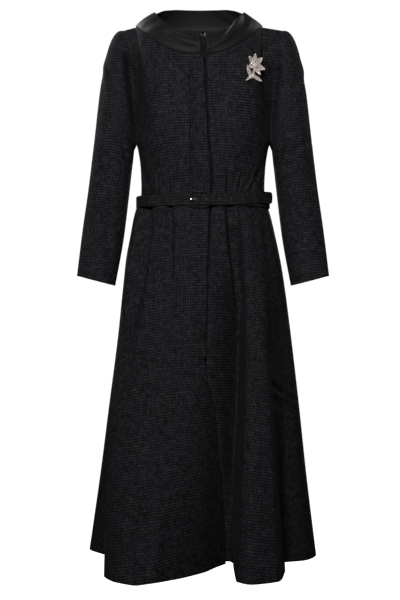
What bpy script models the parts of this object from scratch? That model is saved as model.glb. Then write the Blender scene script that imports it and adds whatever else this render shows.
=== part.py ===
"""Belted boucle coat with a satin band collar, in its worn form with no wearer.

Metres, +Z up. The front faces -Y and the wearer's left is +X. The origin is midway
between the shoulder points, and a drop is a distance down from it. Angles run round
the body in degrees from centre front towards +X.
"""
import math
from collections import namedtuple

import bmesh
import bpy
import numpy as np
from mathutils import Matrix, Vector

NAME = "boucle_coat"

# Cloth thickness and the space kept between pieces
CLOTH = 0.0022
SATIN = 0.0028
STRIP = 0.0014
SEAM = 0.0003
LAP_GAP = 0.0008
SIDE_TRIM = 0.0005
SHOULDER_TRIM = 0.0012

# Main heights
HEM_DROP = 1.215
WAIST_DROP = 0.40
UNDERARM_DROP = 0.258
SHOULDER_DROP = -0.005

# Squareness of the body's and neck's sections; 2 is an ellipse
SQUARE = 2.2

Section = namedtuple("Section", "drop half_width front back middle")
SECTIONS = (
    Section(0.258, 0.1525, 0.120, 0.107, 0.000),
    Section(0.270, 0.1492, 0.1195, 0.1068, 0.000),
    Section(0.315, 0.1430, 0.115, 0.103, 0.000),
    Section(0.355, 0.1412, 0.107, 0.097, 0.000),
    Section(0.384, 0.1420, 0.104, 0.096, 0.000),
    Section(0.407, 0.1510, 0.107, 0.102, 0.000),
    Section(0.453, 0.1630, 0.115, 0.115, 0.002),
    Section(0.545, 0.1820, 0.128, 0.138, 0.006),
    Section(0.660, 0.1980, 0.140, 0.162, 0.012),
    Section(0.844, 0.2190, 0.152, 0.192, 0.026),
    Section(1.028, 0.2370, 0.162, 0.222, 0.038),
    Section(1.215, 0.2580, 0.170, 0.250, 0.050),
)

# Each row is a crest or a dip of the skirt: its angle at the waist and at the hem,
# how far it stands out at the hem, where it starts and how late it grows
Fold = namedtuple("Fold", "waist_angle hem_angle offset start power")
FOLDS = (
    Fold(-180, -180, -0.026, 0.55, 1.5),
    Fold(-152, -152, 0.028, 0.50, 1.5),
    Fold(-134, -138, -0.006, 0.50, 1.5),
    Fold(-114, -117, 0.043, 0.56, 1.0),
    Fold(-100, -99, -0.018, 0.56, 1.4),
    Fold(-90, -80, -0.058, 0.50, 1.3),
    Fold(-80, -57, -0.022, 0.52, 1.3),
    Fold(-70, -46, 0.060, 0.52, 1.5),
    Fold(-46, -33, 0.109, 0.58, 1.8),
    Fold(-26, -14, 0.043, 0.62, 1.8),
    Fold(-8, -1, -0.032, 0.66, 1.9),
    Fold(12, 6, -0.100, 0.42, 0.85),
    Fold(27, 11, -0.124, 0.44, 0.70),
    Fold(33, 14, 0.064, 0.62, 2.0),
    Fold(37, 21.6, 0.095, 0.54, 1.8),
    Fold(41, 33, 0.086, 0.50, 1.6),
    Fold(46, 41, 0.012, 0.50, 1.4),
    Fold(51, 51, -0.040, 0.48, 1.2),
    Fold(64, 68, -0.062, 0.48, 1.3),
    Fold(80, 82, -0.014, 0.50, 1.3),
    Fold(98, 99, 0.012, 0.50, 1.2),
    Fold(124, 124, -0.018, 0.50, 1.5),
    Fold(152, 152, 0.028, 0.50, 1.5),
)

# Narrower troughs that start under the belt or hang from it
Crease = namedtuple("Crease", "top_angle low_angle depth spread top_drop low_drop")
CREASES = (
    Crease(25.0, 18.0, 0.0110, 6.0, 0.406, 1.080),
    Crease(-29.0, -27.0, 0.0060, 5.5, 0.406, 0.680),
    Crease(-52.0, -62.0, 0.0055, 8.0, 0.410, 0.760),
    Crease(58.0, 56.0, 0.0050, 8.0, 0.410, 0.700),
    Crease(140.0, 143.0, 0.0070, 8.0, 0.406, 0.860),
    Crease(-142.0, -146.0, 0.0070, 8.0, 0.406, 0.860),
)

# Fullness that the bust darts leave: centre, spread and height on each front
DART_X = 0.078
DART_DROP = 0.232
DART_SPREAD_X = 0.056
DART_SPREAD_DROP = 0.072
DART_RISE = 0.009

# Right front's edge, from the collar down into the hem's valley
Edge = namedtuple("Edge", "drop x")
FRONT_EDGE = (
    Edge(0.060, 0.0010),
    Edge(0.216, 0.0067),
    Edge(0.359, 0.0175),
    Edge(0.403, 0.0140),
    Edge(0.614, 0.0089),
    Edge(0.745, 0.0075),
    Edge(0.878, 0.0300),
    Edge(0.935, 0.0345),
    Edge(1.035, 0.0430),
    Edge(1.215, 0.0540),
)
UNDERLAP = 0.022
EDGE_RISE = 0.002
LAP_FULL = 0.003
LAP_CLEAR = 0.018
HEM_LAP = 0.0050
PLACKET_WIDTH = 0.0240
PLACKET_END_DROP = 0.746
PLACKET_TRIM = 0.0016

# Rings of the neck: seam with the body and rim of the collar
Ring = namedtuple("Ring", "half_width shift front back front_z side_z back_z bend back_bend")
NECK_SEAM = Ring(0.1450, -0.009, 0.096, 0.100, -0.066, 0.013, 0.034, 2.3, 2.3)
COLLAR_RIM = Ring(0.1035, -0.0085, 0.082, 0.088, -0.017, 0.049, 0.070, 3.1, 5.0)
COLLAR_START = 4.2
COLLAR_END = 362.6
COLLAR_BOW = 0.004

# Armhole: x of its seam by drop, and its depth either side of the shoulder line
Seam = namedtuple("Seam", "drop x")
ARMHOLE = (
    Seam(-0.005, 0.1845),
    Seam(0.033, 0.1735),
    Seam(0.117, 0.1640),
    Seam(0.174, 0.1575),
    Seam(0.240, 0.1520),
    Seam(0.258, 0.1525),
)
ARMHOLE_FRONT = 0.042
ARMHOLE_BACK = 0.066
ARMHOLE_GAP = 0.0011
CHEST_TURN = 2.6
CHEST_LEAN = 1.5

# Sleeve rings below the armhole: inner and outer edge seen from the front
Cuff = namedtuple("Cuff", "inner_x inner_drop outer_x outer_drop half_depth middle")
SLEEVE = (
    Cuff(0.1585, 0.2720, 0.2505, 0.2500, 0.057, 0.004),
    Cuff(0.1700, 0.3740, 0.2625, 0.3500, 0.053, 0.003),
    Cuff(0.1815, 0.4740, 0.2755, 0.4500, 0.050, -0.010),
    Cuff(0.2000, 0.5815, 0.2875, 0.5590, 0.047, -0.026),
)
CAP_OUT = Vector((1.0, 0.0, 0.16))
CAP_DOWN = Vector((0.12, 0.0, -1.0))
CAP_FULLNESS = 0.50

# Belt: a strap from the buckle's far bar right round and over itself
BELT_WIDTH = 0.0265
BELT_WALL = 0.0024
BELT_DROP = 0.391
BELT_PATH_DROP = 0.402
BELT_LIFT = 0.0024
TONGUE_TIP = 0.180
TONGUE_RISE = 0.009
TIP_ROUND = 0.008
HOLE_RADIUS = 0.0021
HOLES = (-0.0150, 0.0067, 0.0342, 0.0611, 0.0880)
BUCKLE_X = -0.0070
BUCKLE_WIDTH = 0.0440
BUCKLE_HEIGHT = 0.0378
BUCKLE_BAR = 0.0050
BUCKLE_WALL = 0.0030
BUCKLE_CORNER = 0.0075
PRONG_RADIUS = 0.0014

# Brooch on the left front: where it is pinned and its parts in its own plane
BROOCH_X = 0.115
BROOCH_DROP = 0.098
Petal = namedtuple("Petal", "root_x root_z turn length width lift")
PETALS = (
    Petal(0.0, 0.0, 88, 0.0270, 0.0115, 0.10),
    Petal(0.0, 0.0, 44, 0.0275, 0.0120, 0.16),
    Petal(0.0, 0.0, -14, 0.0270, 0.0120, 0.12),
    Petal(0.0, 0.0, -64, 0.0240, 0.0110, 0.10),
    Petal(0.0, 0.0, 138, 0.0265, 0.0120, 0.16),
    Petal(0.0, 0.0, 192, 0.0220, 0.0110, 0.12),
)
# Upper and lower stem, then the left and right leaf
LEAVES = (
    Petal(-0.001, -0.003, 252, 0.0280, 0.0044, 0.00),
    Petal(-0.0062, -0.0190, 214, 0.0290, 0.0050, 0.00),
    Petal(-0.0125, -0.0245, 113, 0.0270, 0.0085, 0.06),
    Petal(-0.0070, -0.0210, 334, 0.0260, 0.0075, 0.05),
)
PETAL_WALL = 0.0011
PETAL_INSET = 0.12
FLOWER_CENTRE = (-0.001, 0.009)
BROOCH_STANDOFF = 0.0013
BROOCH_SCALE = 1.14
BROOCH_HEART = 0.0042

# Mesh: columns and rows of the cloth grids
FRONT_COLUMNS = 20
BACK_COLUMNS = 28
SKIRT_ROWS = 15
WAIST_ROWS = 5
CHEST_ROWS = 10
SLEEVE_ROWS = 8
CAP_ROWS = 6
COLLAR_COLUMNS = 44
COLLAR_ROWS = 4
BELT_COLUMNS = 48
LAP_COLUMNS = 26

BOUCLE = (0.012, 0.011, 0.013, 1.0)
SATIN_BLACK = (0.018, 0.017, 0.020, 1.0)
STEEL = (0.62, 0.61, 0.60, 1.0)
ROSE_GOLD = (0.80, 0.62, 0.52, 1.0)


def monotone(xs, ys, at):
    """Smooth curve through a table's points that never overshoots them."""
    xs = np.asarray(xs, float)
    ys = np.asarray(ys, float)
    step = np.diff(xs)
    rise = np.diff(ys) / step
    slope = np.zeros(len(xs))
    before, after = rise[:-1], rise[1:]
    same = before * after > 0
    slope[1:-1][same] = 2 * before[same] * after[same] / (before[same] + after[same])
    slope[0], slope[-1] = rise[0], rise[-1]
    at = np.asarray(at, float)
    i = np.clip(np.searchsorted(xs, at) - 1, 0, len(step) - 1)
    t = np.clip((at - xs[i]) / step[i], 0.0, 1.0)
    low = ys[i] * (1 + 2 * t) * (1 - t) ** 2 + slope[i] * step[i] * t * (1 - t) ** 2
    high = ys[i + 1] * t * t * (3 - 2 * t) + slope[i + 1] * step[i] * t * t * (t - 1)
    return low + high


def ease(t):
    t = np.clip(t, 0.0, 1.0)
    return t * t * (3 - 2 * t)


def field(table, name):
    return np.array([getattr(row, name) for row in table])


def section(drop):
    drops = field(SECTIONS, "drop")
    values = [float(monotone(drops, field(SECTIONS, name), drop)) for name in Section._fields[1:]]
    return Section(drop, *values)


def fold_offset(angle, drop):
    """How far the skirt's folds stand out at these angles and this height."""
    along = np.clip((drop - WAIST_DROP) / (HEM_DROP - WAIST_DROP), 0.0, 1.0)
    start = field(FOLDS, "start")
    grown = np.clip((drop - start) / (HEM_DROP - start), 0.0, 1.0)
    waist = field(FOLDS, "waist_angle")
    angles = waist + (field(FOLDS, "hem_angle") - waist) * along
    offsets = field(FOLDS, "offset") * grown ** field(FOLDS, "power")
    turns = np.concatenate([angles - 360, angles, angles + 360])
    return monotone(turns, np.tile(offsets, 3), angle)


def crease_offset(angle, drop):
    """Depth of the narrow troughs, growing from the belt and dying out below."""
    turn = (np.asarray(angle, float) + 180) % 360 - 180
    total = np.zeros_like(turn)
    for crease in CREASES:
        along = (drop - crease.top_drop) / (crease.low_drop - crease.top_drop)
        if 0 < along < 1:
            middle = crease.top_angle + (crease.low_angle - crease.top_angle) * along
            strength = ease(along / 0.12) * (1 - ease((along - 0.3) / 0.7))
            total -= crease.depth * strength * np.exp(-(((turn - middle) / crease.spread) ** 2))
    return total


def push_direction(angle):
    """Folds stand straight forward at the front and turn outward at the sides."""
    turn = (angle + 180) % 360 - 180
    return np.radians(turn * ease((np.abs(turn) - 20) / 50))


def rounded(value):
    return np.sign(value) * np.abs(value) ** (2 / SQUARE)


def body_ring(angle, drop):
    """Points of the body's outer surface at one height."""
    s = section(drop)
    angle = np.asarray(angle, float)
    sine = rounded(np.sin(np.radians(angle)))
    cosine = rounded(np.cos(np.radians(angle)))
    depth = np.where(cosine > 0, s.front + s.middle, s.back - s.middle)
    push = fold_offset(angle, drop) + crease_offset(angle, drop)
    way = push_direction(angle)
    x = s.half_width * sine + push * np.sin(way)
    y = s.middle - depth * cosine - push * np.cos(way)
    lift = EDGE_RISE * np.exp(-((x - FRONT_EDGE[-1].x) / 0.045) ** 2) * (y < 0)
    z = -drop + lift * ease((drop - 1.0) / (HEM_DROP - 1.0))
    return np.stack([x, y, z], axis=-1)


def neck_ring(ring, angle):
    """Points of a ring round the neck, low at the front and high at the back."""
    angle = np.asarray(angle, float)
    sine = rounded(np.sin(np.radians(angle)))
    cosine = rounded(np.cos(np.radians(angle)))
    reach = np.abs(sine)
    low = ring.front_z + (ring.side_z - ring.front_z) * reach ** ring.bend
    high = ring.back_z + (ring.side_z - ring.back_z) * reach ** ring.back_bend
    x = ring.shift + ring.half_width * sine
    y = np.where(cosine > 0, -ring.front * cosine, -ring.back * cosine)
    return np.stack([x, y, np.where(cosine > 0, low, high)], axis=-1)


def spread(points, fractions):
    """Points at these fractions of a line's length."""
    steps = np.linalg.norm(np.diff(points, axis=0), axis=1)
    length = np.concatenate([[0.0], np.cumsum(steps)])
    wanted = np.asarray(fractions) * length[-1]
    return np.stack([np.interp(wanted, length, points[:, k]) for k in range(3)], axis=-1)


def edge_x(drop):
    return float(monotone(field(FRONT_EDGE, "drop"), field(FRONT_EDGE, "x"), drop))


def angle_at(x, half_width):
    return math.degrees(math.asin(math.copysign(abs(x / half_width) ** (SQUARE / 2), x)))


def armhole(turn, side, back):
    """Armhole seam from the underarm (turn 0) to the shoulder point (turn pi)."""
    middle = (UNDERARM_DROP + SHOULDER_DROP) / 2
    half = (UNDERARM_DROP - SHOULDER_DROP) / 2
    turn = np.asarray(turn, float)
    drop = middle + half * np.cos(turn)
    x = monotone(field(ARMHOLE, "drop"), field(ARMHOLE, "x"), drop)
    y = np.sin(turn) * (ARMHOLE_BACK if back else -ARMHOLE_FRONT)
    return np.stack([side * x, y, -drop], axis=-1)


def chest_turns():
    return np.linspace(0.0, math.pi, CHEST_ROWS + 1)


def trunk_drops():
    skirt = np.linspace(HEM_DROP, WAIST_DROP + 0.007, SKIRT_ROWS + 1)
    waist = np.linspace(WAIST_DROP + 0.007, UNDERARM_DROP, WAIST_ROWS + 1)
    return np.concatenate([skirt, waist[1:]])


def chest_rows(lower, upper, outer):
    """Rows from the underarm row to the neck and shoulder, between centre and armhole.

    lower and upper run from centre to side, and outer is the armhole seam.
    """
    steps = np.linalg.norm(np.diff(lower, axis=0), axis=1)
    share = np.concatenate([[0.0], np.cumsum(steps)]) / steps.sum()
    near_armhole = share[:, None] ** CHEST_TURN
    rows = []
    for row, turn in enumerate(chest_turns()):
        w = (1 - math.cos(turn)) / 2
        straight = lower * (1 - w) + upper * w
        late = w ** CHEST_LEAN
        straight[:, 1] = lower[:, 1] * (1 - late) + upper[:, 1] * late
        rows.append(straight + near_armhole * (outer[row] - straight[-1]))
    return rows


def trim_top(rows, gap):
    """Lowers the top row by a gap along the columns."""
    step = rows[-2] - rows[-1]
    length = np.linalg.norm(step, axis=1, keepdims=True)
    rows[-1] = rows[-1] + step / length * np.reshape(gap, (-1, 1))
    return rows


def top_gap(row):
    """The gap at the top seam: wider along the shoulder, where the wall turns over."""
    return SEAM + (SHOULDER_TRIM - SEAM) * ease((np.abs(row[:, 0] - NECK_SEAM.shift) - 0.13) / 0.014)


def trim_side(grid, column, gap):
    """Draws an end column in by a gap along the rows."""
    inner = 1 if column == 0 else -2
    step = grid[:, inner] - grid[:, column]
    length = np.linalg.norm(step, axis=1, keepdims=True)
    grid[:, column] = grid[:, column] + step / length * gap
    return grid


def normals(grid):
    across = np.gradient(grid, axis=1)
    up = np.gradient(grid, axis=0)
    cross = np.cross(across, up)
    return cross / np.linalg.norm(cross, axis=2, keepdims=True)


def add_dart_fullness(grid):
    x = (np.abs(grid[..., 0]) - DART_X) / DART_SPREAD_X
    z = (-grid[..., 2] - DART_DROP) / DART_SPREAD_DROP
    grid[..., 1] -= DART_RISE * np.exp(-x * x - z * z)
    return grid


def front_grid(side, edge_shift, power):
    """One front's outer surface, rows from the hem up, columns by rising angle.

    edge_shift moves its centre edge from the right front's edge.
    """
    fractions = np.linspace(0.0, 1.0, FRONT_COLUMNS + 1) ** power
    rows = []
    for drop in trunk_drops():
        start = angle_at(edge_x(drop) + edge_shift, section(drop).half_width)
        rows.append(spread(body_ring(np.linspace(start, 90 * side, 241), drop), fractions))
    neck_x = edge_x(0.06) + edge_shift - NECK_SEAM.shift
    start = angle_at(neck_x, NECK_SEAM.half_width)
    neck = neck_ring(NECK_SEAM, np.linspace(start, 90 * side, 161))
    outer = armhole(chest_turns(), side, False)
    upper = spread(np.vstack([neck, outer[-1:]]), fractions)
    rows += chest_rows(rows[-1], upper, outer)[1:]
    grid = np.array(trim_top(rows, top_gap(rows[-1])))
    if side < 0:
        grid = grid[:, ::-1].copy()
    grid = trim_side(grid, 0 if side < 0 else -1, SIDE_TRIM)
    return add_dart_fullness(grid)


def right_front_grid():
    return front_grid(-1, 0.0, 1.6)


def left_front_grid():
    """The left front, set back under the right front along centre front."""
    grid = front_grid(1, -UNDERLAP, 1.3)
    edge = np.array([edge_x(-z) for z in grid[:, 0, 2]])[:, None]
    past = grid[..., 0] - edge
    inset = 1 - ease((past - LAP_FULL) / (LAP_CLEAR - LAP_FULL))
    loose = HEM_LAP * ease((-grid[..., 2] - 0.95) / (HEM_DROP - 0.95))
    return grid - normals(grid) * (inset * (CLOTH + LAP_GAP + loose))[..., None]


def back_grid():
    fractions = np.linspace(0.0, 1.0, BACK_COLUMNS + 1)
    half = BACK_COLUMNS // 2
    rows = [spread(body_ring(np.linspace(90, 270, 361), drop), fractions) for drop in trunk_drops()]
    shares = np.linspace(0.0, 1.0, half + 1)
    halves = []
    for side in (1, -1):
        neck = neck_ring(NECK_SEAM, np.linspace(180, 180 - 90 * side, 161))
        outer = armhole(chest_turns(), side, True)
        upper = spread(np.vstack([neck, outer[-1:]]), shares)
        lower = rows[-1][half::-1] if side > 0 else rows[-1][half:]
        halves.append(chest_rows(lower, upper, outer)[1:])
    for left, right in zip(*halves):
        rows.append(np.vstack([left[::-1], right[1:]]))
    grid = np.array(trim_top(rows, top_gap(rows[-1])))
    grid = trim_side(grid, 0, SIDE_TRIM)
    return trim_side(grid, -1, SIDE_TRIM)


def sleeve_ring(cuff, turn, back):
    inner = np.array([cuff.inner_x, 0.0, -cuff.inner_drop])
    outer = np.array([cuff.outer_x, 0.0, -cuff.outer_drop])
    turn = np.asarray(turn)[:, None]
    depth = np.sin(turn) * cuff.half_depth * (1 if back else -1) + cuff.middle
    return inner * (1 + np.cos(turn)) / 2 + outer * (1 - np.cos(turn)) / 2 + depth * np.array([0, 1, 0])


def sleeve_lines(turn, back):
    """Rows of half a sleeve from the cuff to the armhole."""
    drops = np.linspace(SLEEVE[-1].inner_drop, SLEEVE[0].inner_drop, SLEEVE_ROWS + 1)
    known = field(SLEEVE, "inner_drop")
    rows = []
    for drop in drops:
        values = {name: float(monotone(known, field(SLEEVE, name), drop)) for name in Cuff._fields}
        rows.append(sleeve_ring(Cuff(**values), turn, back))
    seam = armhole(turn, 1, back) + np.array([ARMHOLE_GAP, 0.0, 0.0])
    low = rows[-1]
    share = np.sin(np.asarray(turn)[:, None] / 2) ** 2
    away = np.array(CAP_OUT) * share + np.array(CAP_DOWN) * (1 - share)
    away /= np.linalg.norm(away, axis=1, keepdims=True)
    down = np.array(CAP_DOWN.normalized())
    reach = np.linalg.norm(seam - low, axis=1, keepdims=True)
    for t in np.linspace(1.0, 0.0, CAP_ROWS + 1)[1:]:
        point = seam * (1 + 2 * t) * (1 - t) ** 2 + low * t * t * (3 - 2 * t)
        point += away * reach * CAP_FULLNESS * t * (1 - t) ** 2
        point += down * reach * t * t * (t - 1)
        rows.append(point)
    return np.array(rows)


def sleeve_grid(side):
    """A sleeve as a closed tube; the first column is repeated at the end."""
    turns = chest_turns()
    front = sleeve_lines(turns, False)
    back = sleeve_lines(turns[::-1], True)
    grid = np.concatenate([front, back[:, 1:]], axis=1)
    if side < 0:
        grid = grid[:, ::-1] * np.array([-1.0, 1.0, 1.0])
    return grid


def collar_grid():
    """Inner surface of the satin band, from the neck seam to the rim."""
    angles = np.linspace(COLLAR_START, COLLAR_END, COLLAR_COLUMNS + 1)
    low = neck_ring(NECK_SEAM, angles)
    high = neck_ring(COLLAR_RIM, angles)
    rows = []
    for share in np.linspace(0.0, 1.0, COLLAR_ROWS + 1):
        row = low * (1 - share) + high * share
        out = np.stack([np.sin(np.radians(angles)), -np.cos(np.radians(angles)), 0 * angles], axis=-1)
        rows.append(row + out * COLLAR_BOW * 4 * share * (1 - share))
    grid = np.array(rows)
    grid[0, :, 2] += SEAM
    return grid + normals(grid) * SEAM


def placket_grid(panel):
    """A strip on the right front's own points, moved out by the seam gap."""
    shell = panel + normals(panel) * SEAM
    rows = []
    for row in shell:
        if -PLACKET_END_DROP <= row[0, 2] and -PLACKET_END_DROP <= row[-1, 2]:
            line = row[::-1]
            length = np.linalg.norm(np.diff(line, axis=0), axis=1).sum()
            reach = np.linspace(PLACKET_WIDTH, 0.0004, 5) / length
            rows.append(spread(line, reach))
    return np.array(trim_top(rows, PLACKET_TRIM))


class BeltLine:
    """The waist line the belt follows, by length to the right of centre front."""

    def __init__(self):
        angles = np.linspace(0.0, 360.0, 1441)
        ring = body_ring(angles, BELT_PATH_DROP)
        steps = np.linalg.norm(np.diff(ring, axis=0), axis=1)
        self.length = np.concatenate([[0.0], np.cumsum(steps)])
        self.ring = ring
        self.round = self.length[-1]

    def at(self, along, drop, lift):
        """Points at lengths round the waist, heights and distances off the cloth."""
        along = np.asarray(along, float)
        here = self.place(along)
        ahead = self.place(along + 0.004) - self.place(along - 0.004)
        out = np.stack([ahead[..., 1], -ahead[..., 0], 0 * ahead[..., 0]], axis=-1)
        out /= np.linalg.norm(out, axis=-1, keepdims=True)
        point = here + out * np.asarray(lift, float)[..., None]
        point[..., 2] = -np.asarray(drop, float)
        return point

    def place(self, along):
        wanted = np.mod(along, self.round)
        axes = [np.interp(wanted, self.length, self.ring[:, k]) for k in range(3)]
        return np.stack(axes, axis=-1)


def belt_lift(line, along):
    """Distance of the strap's inner face from the cloth along its run."""
    heel = BUCKLE_X + BUCKLE_WIDTH / 2 - BUCKLE_BAR / 2
    near = BUCKLE_X - BUCKLE_WIDTH / 2 + BUCKLE_BAR / 2
    over = BELT_LIFT + BELT_WALL + BUCKLE_WALL + 2 * SEAM
    lapped = BELT_LIFT + BELT_WALL + SEAM
    stations = [heel, line.round + near + 0.002, line.round + heel - 0.003, line.round + heel + 0.004]
    stations += [line.round + heel + 0.028, line.round + 0.13, line.round + TONGUE_TIP]
    lifts = [BELT_LIFT, BELT_LIFT, over, over, lapped, lapped, lapped + 0.005]
    return monotone(stations, lifts, along)


def belt_drop(line, along):
    rise = ease((along - line.round - 0.02) / (TONGUE_TIP - 0.02)) * TONGUE_RISE
    return BELT_DROP - rise


def belt_grid(line):
    """The strap's inner face, its tongue ending in a rounded tip."""
    heel = BUCKLE_X + BUCKLE_WIDTH / 2 + SEAM
    tip = line.round + TONGUE_TIP
    lapped = np.linspace(line.round - 0.045, tip - TIP_ROUND, LAP_COLUMNS)
    end = tip - TIP_ROUND * np.array([0.6, 0.3, 0.1, 0.0])
    along = np.concatenate([np.linspace(heel, lapped[0], BELT_COLUMNS)[:-1], lapped, end])
    inside = np.clip((along - tip + TIP_ROUND) / TIP_ROUND, 0.0, 1.0)
    half = BELT_WIDTH / 2 - TIP_ROUND * (1 - np.sqrt(1 - 0.96 * inside**2))
    rows = []
    for edge in (-1, 1):
        rows.append(line.at(along, belt_drop(line, along) - edge * half, belt_lift(line, along)))
    return np.array(rows)


def rounded_rectangle(width, height, corner, per_corner):
    points = []
    for k, (sx, sz) in enumerate(((1, 1), (-1, 1), (-1, -1), (1, -1))):
        for step in np.linspace(0, math.pi / 2, per_corner + 1):
            turn = step + k * math.pi / 2
            x = sx * (width / 2 - corner) + corner * math.cos(turn)
            z = sz * (height / 2 - corner) + corner * math.sin(turn)
            points.append((x, z))
    points.append(points[0])
    return np.array(points)


def buckle_grid(line):
    """The covered frame's inner face, a flat rounded ring bent to the waist."""
    rows = []
    for inset in (0.0, BUCKLE_BAR):
        loop = rounded_rectangle(
            BUCKLE_WIDTH - 2 * inset, BUCKLE_HEIGHT - 2 * inset, BUCKLE_CORNER - inset * 0.8, 4
        )
        lift = np.full(len(loop), BELT_LIFT + BELT_WALL + SEAM)
        rows.append(line.at(BUCKLE_X + loop[:, 0], BELT_DROP - loop[:, 1], lift))
    return np.array(rows)


def sheet(name, grid, wall, offset, colour, roughness, metallic=0.0, wrap=False):
    """A cloth piece: a grid moved onto its points, then given its thickness."""
    rows, columns = grid.shape[:2]
    bm = bmesh.new()
    bmesh.ops.create_grid(bm, x_segments=columns - 1, y_segments=rows - 1, size=1.0)
    bm.verts.ensure_lookup_table()
    for vert, point in zip(bm.verts, grid.reshape(-1, 3)):
        vert.co = Vector(point)
    if wrap:
        bmesh.ops.remove_doubles(bm, verts=bm.verts[:], dist=1e-6)
    for face in bm.faces:
        face.smooth = True
    obj = mesh_object(name, bm, colour, roughness, metallic)
    solid = obj.modifiers.new("wall", "SOLIDIFY")
    solid.thickness = wall
    solid.offset = offset
    solid.use_even_offset = True
    return obj


def mesh_object(name, bm, colour, roughness, metallic):
    mesh = bpy.data.meshes.new(name)
    bm.to_mesh(mesh)
    bm.free()
    obj = bpy.data.objects.new(name, mesh)
    obj.data.materials.append(material(name, colour, roughness, metallic))
    PARTS.objects.link(obj)
    return obj


def material(name, colour, roughness, metallic):
    made = bpy.data.materials.new(name)
    made.use_nodes = True
    shader = made.node_tree.nodes["Principled BSDF"]
    shader.inputs["Base Color"].default_value = colour
    shader.inputs["Roughness"].default_value = roughness
    shader.inputs["Metallic"].default_value = metallic
    return made


def tool(name, bm):
    """A shape that only takes part in a Boolean."""
    mesh = bpy.data.meshes.new(name)
    bm.to_mesh(mesh)
    bm.free()
    obj = bpy.data.objects.new(name, mesh)
    obj.display_type = "WIRE"
    obj.hide_render = True
    TOOLS.objects.link(obj)
    return obj


def combine(obj, other, operation):
    boolean = obj.modifiers.new(other.name, "BOOLEAN")
    boolean.operation = operation
    boolean.solver = "EXACT"
    boolean.object = other


def frame_matrix(right, up, out, origin):
    """A local frame with its columns along right, up and out."""
    return Matrix((
        (right[0], up[0], out[0], origin[0]),
        (right[1], up[1], out[1], origin[1]),
        (right[2], up[2], out[2], origin[2]),
        (0.0, 0.0, 0.0, 1.0),
    ))


def belt_frame(line, along, lift):
    here = line.at(np.array([along]), belt_drop(line, np.array([along])), np.array([lift]))[0]
    beyond = line.at(np.array([along]), belt_drop(line, np.array([along])), np.array([lift + 1.0]))[0]
    out = beyond - here
    up = np.array([0.0, 0.0, 1.0])
    right = np.cross(up, out)
    return frame_matrix(right, up, out, here)


def build_belt(line):
    belt = sheet("belt", belt_grid(line), BELT_WALL, 1.0, BOUCLE, 0.9)
    for number, along in enumerate(HOLES):
        bm = bmesh.new()
        place = line.round + along
        lift = float(belt_lift(line, np.array([place]))[0])
        matrix = belt_frame(line, place, lift + BELT_WALL / 2)
        bmesh.ops.create_cone(
            bm, cap_ends=True, segments=12, radius1=HOLE_RADIUS, radius2=HOLE_RADIUS,
            depth=BELT_WALL * 2.2, matrix=matrix,
        )
        combine(belt, tool(f"hole_{number}", bm), "DIFFERENCE")


def build_prong(line):
    """The prong's end, out of its hole and over the near bar."""
    near = BUCKLE_X - BUCKLE_WIDTH / 2
    top = BELT_LIFT + BELT_WALL + BUCKLE_WALL + 2 * SEAM + PRONG_RADIUS
    hole = HOLES[0]
    stations = (near - 0.0005, near + BUCKLE_BAR * 0.6, near + BUCKLE_BAR + 0.0012, hole - 0.0003)
    lifts = (top, top, top - 0.0001, top - 0.0009)
    curve = bpy.data.curves.new("prong", "CURVE")
    curve.dimensions = "3D"
    curve.bevel_depth = PRONG_RADIUS
    curve.bevel_resolution = 2
    curve.use_fill_caps = True
    spline = curve.splines.new("POLY")
    spline.points.add(len(stations) - 1)
    for point, along, lift in zip(spline.points, stations, lifts):
        place = line.at(np.array([along]), np.array([BELT_DROP]), np.array([lift]))[0]
        point.co = (*place, 1.0)
    obj = bpy.data.objects.new("prong", curve)
    obj.data.materials.append(material("prong", STEEL, 0.25, 1.0))
    PARTS.objects.link(obj)


def petal_shape(bm, petal, frame, origin):
    """A pointed, slightly lifted petal lying along its turn in the brooch's plane."""
    made = bmesh.ops.create_uvsphere(bm, u_segments=8, v_segments=6, radius=1.0)
    turn = math.radians(petal.turn)
    along = Vector((math.cos(turn), math.sin(turn), 0.0))
    across = Vector((-math.sin(turn), math.cos(turn), 0.0))
    for vert in made["verts"]:
        x, y, z = vert.co.z, vert.co.x, vert.co.y
        reach = (x + 1) / 2
        taper = 1.0 - 0.35 * x
        flat = along * (petal.length * (reach - PETAL_INSET))
        flat += across * (y * petal.width / 2 * taper)
        height = z * PETAL_WALL + petal.lift * petal.length * reach * reach
        root = Vector((origin[0] + petal.root_x, origin[1] + petal.root_z, 0.0))
        vert.co = frame @ (root + flat + Vector((0.0, 0.0, height)))


def brooch_frame(panel):
    """The frame of the brooch on the left front, from the panel's nearest point."""
    wanted = np.array([BROOCH_X, -BROOCH_DROP])
    gap = np.linalg.norm(panel[..., [0, 2]] - wanted, axis=2)
    row, column = np.unravel_index(np.argmin(gap), gap.shape)
    out = Vector(normals(panel)[row, column]).normalized()
    up = (Vector((0.0, 0.0, 1.0)) - out * out.z).normalized()
    right = up.cross(out)
    origin = Vector(panel[row, column]) + out * BROOCH_STANDOFF
    return frame_matrix(right, up, out, origin)


def build_brooch(panel):
    wider = Matrix.Diagonal((BROOCH_SCALE, BROOCH_SCALE, 1.0, 1.0))
    frame = brooch_frame(panel) @ wider
    heart = bmesh.new()
    centre = Vector((FLOWER_CENTRE[0], FLOWER_CENTRE[1], 0.001))
    squash = Matrix.Diagonal((1.0, 1.0, 0.55, 1.0))
    bmesh.ops.create_uvsphere(
        heart, u_segments=14, v_segments=8, radius=BROOCH_HEART,
        matrix=frame @ Matrix.Translation(centre) @ squash,
    )
    brooch = mesh_object("brooch", heart, ROSE_GOLD, 0.25, 1.0)
    for number, petal in enumerate(PETALS + LEAVES):
        bm = bmesh.new()
        petal_shape(bm, petal, frame, FLOWER_CENTRE)
        combine(brooch, tool(f"petal_{number}", bm), "UNION")


def collection(name):
    made = bpy.data.collections.new(name)
    bpy.context.scene.collection.children.link(made)
    return made


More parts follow.
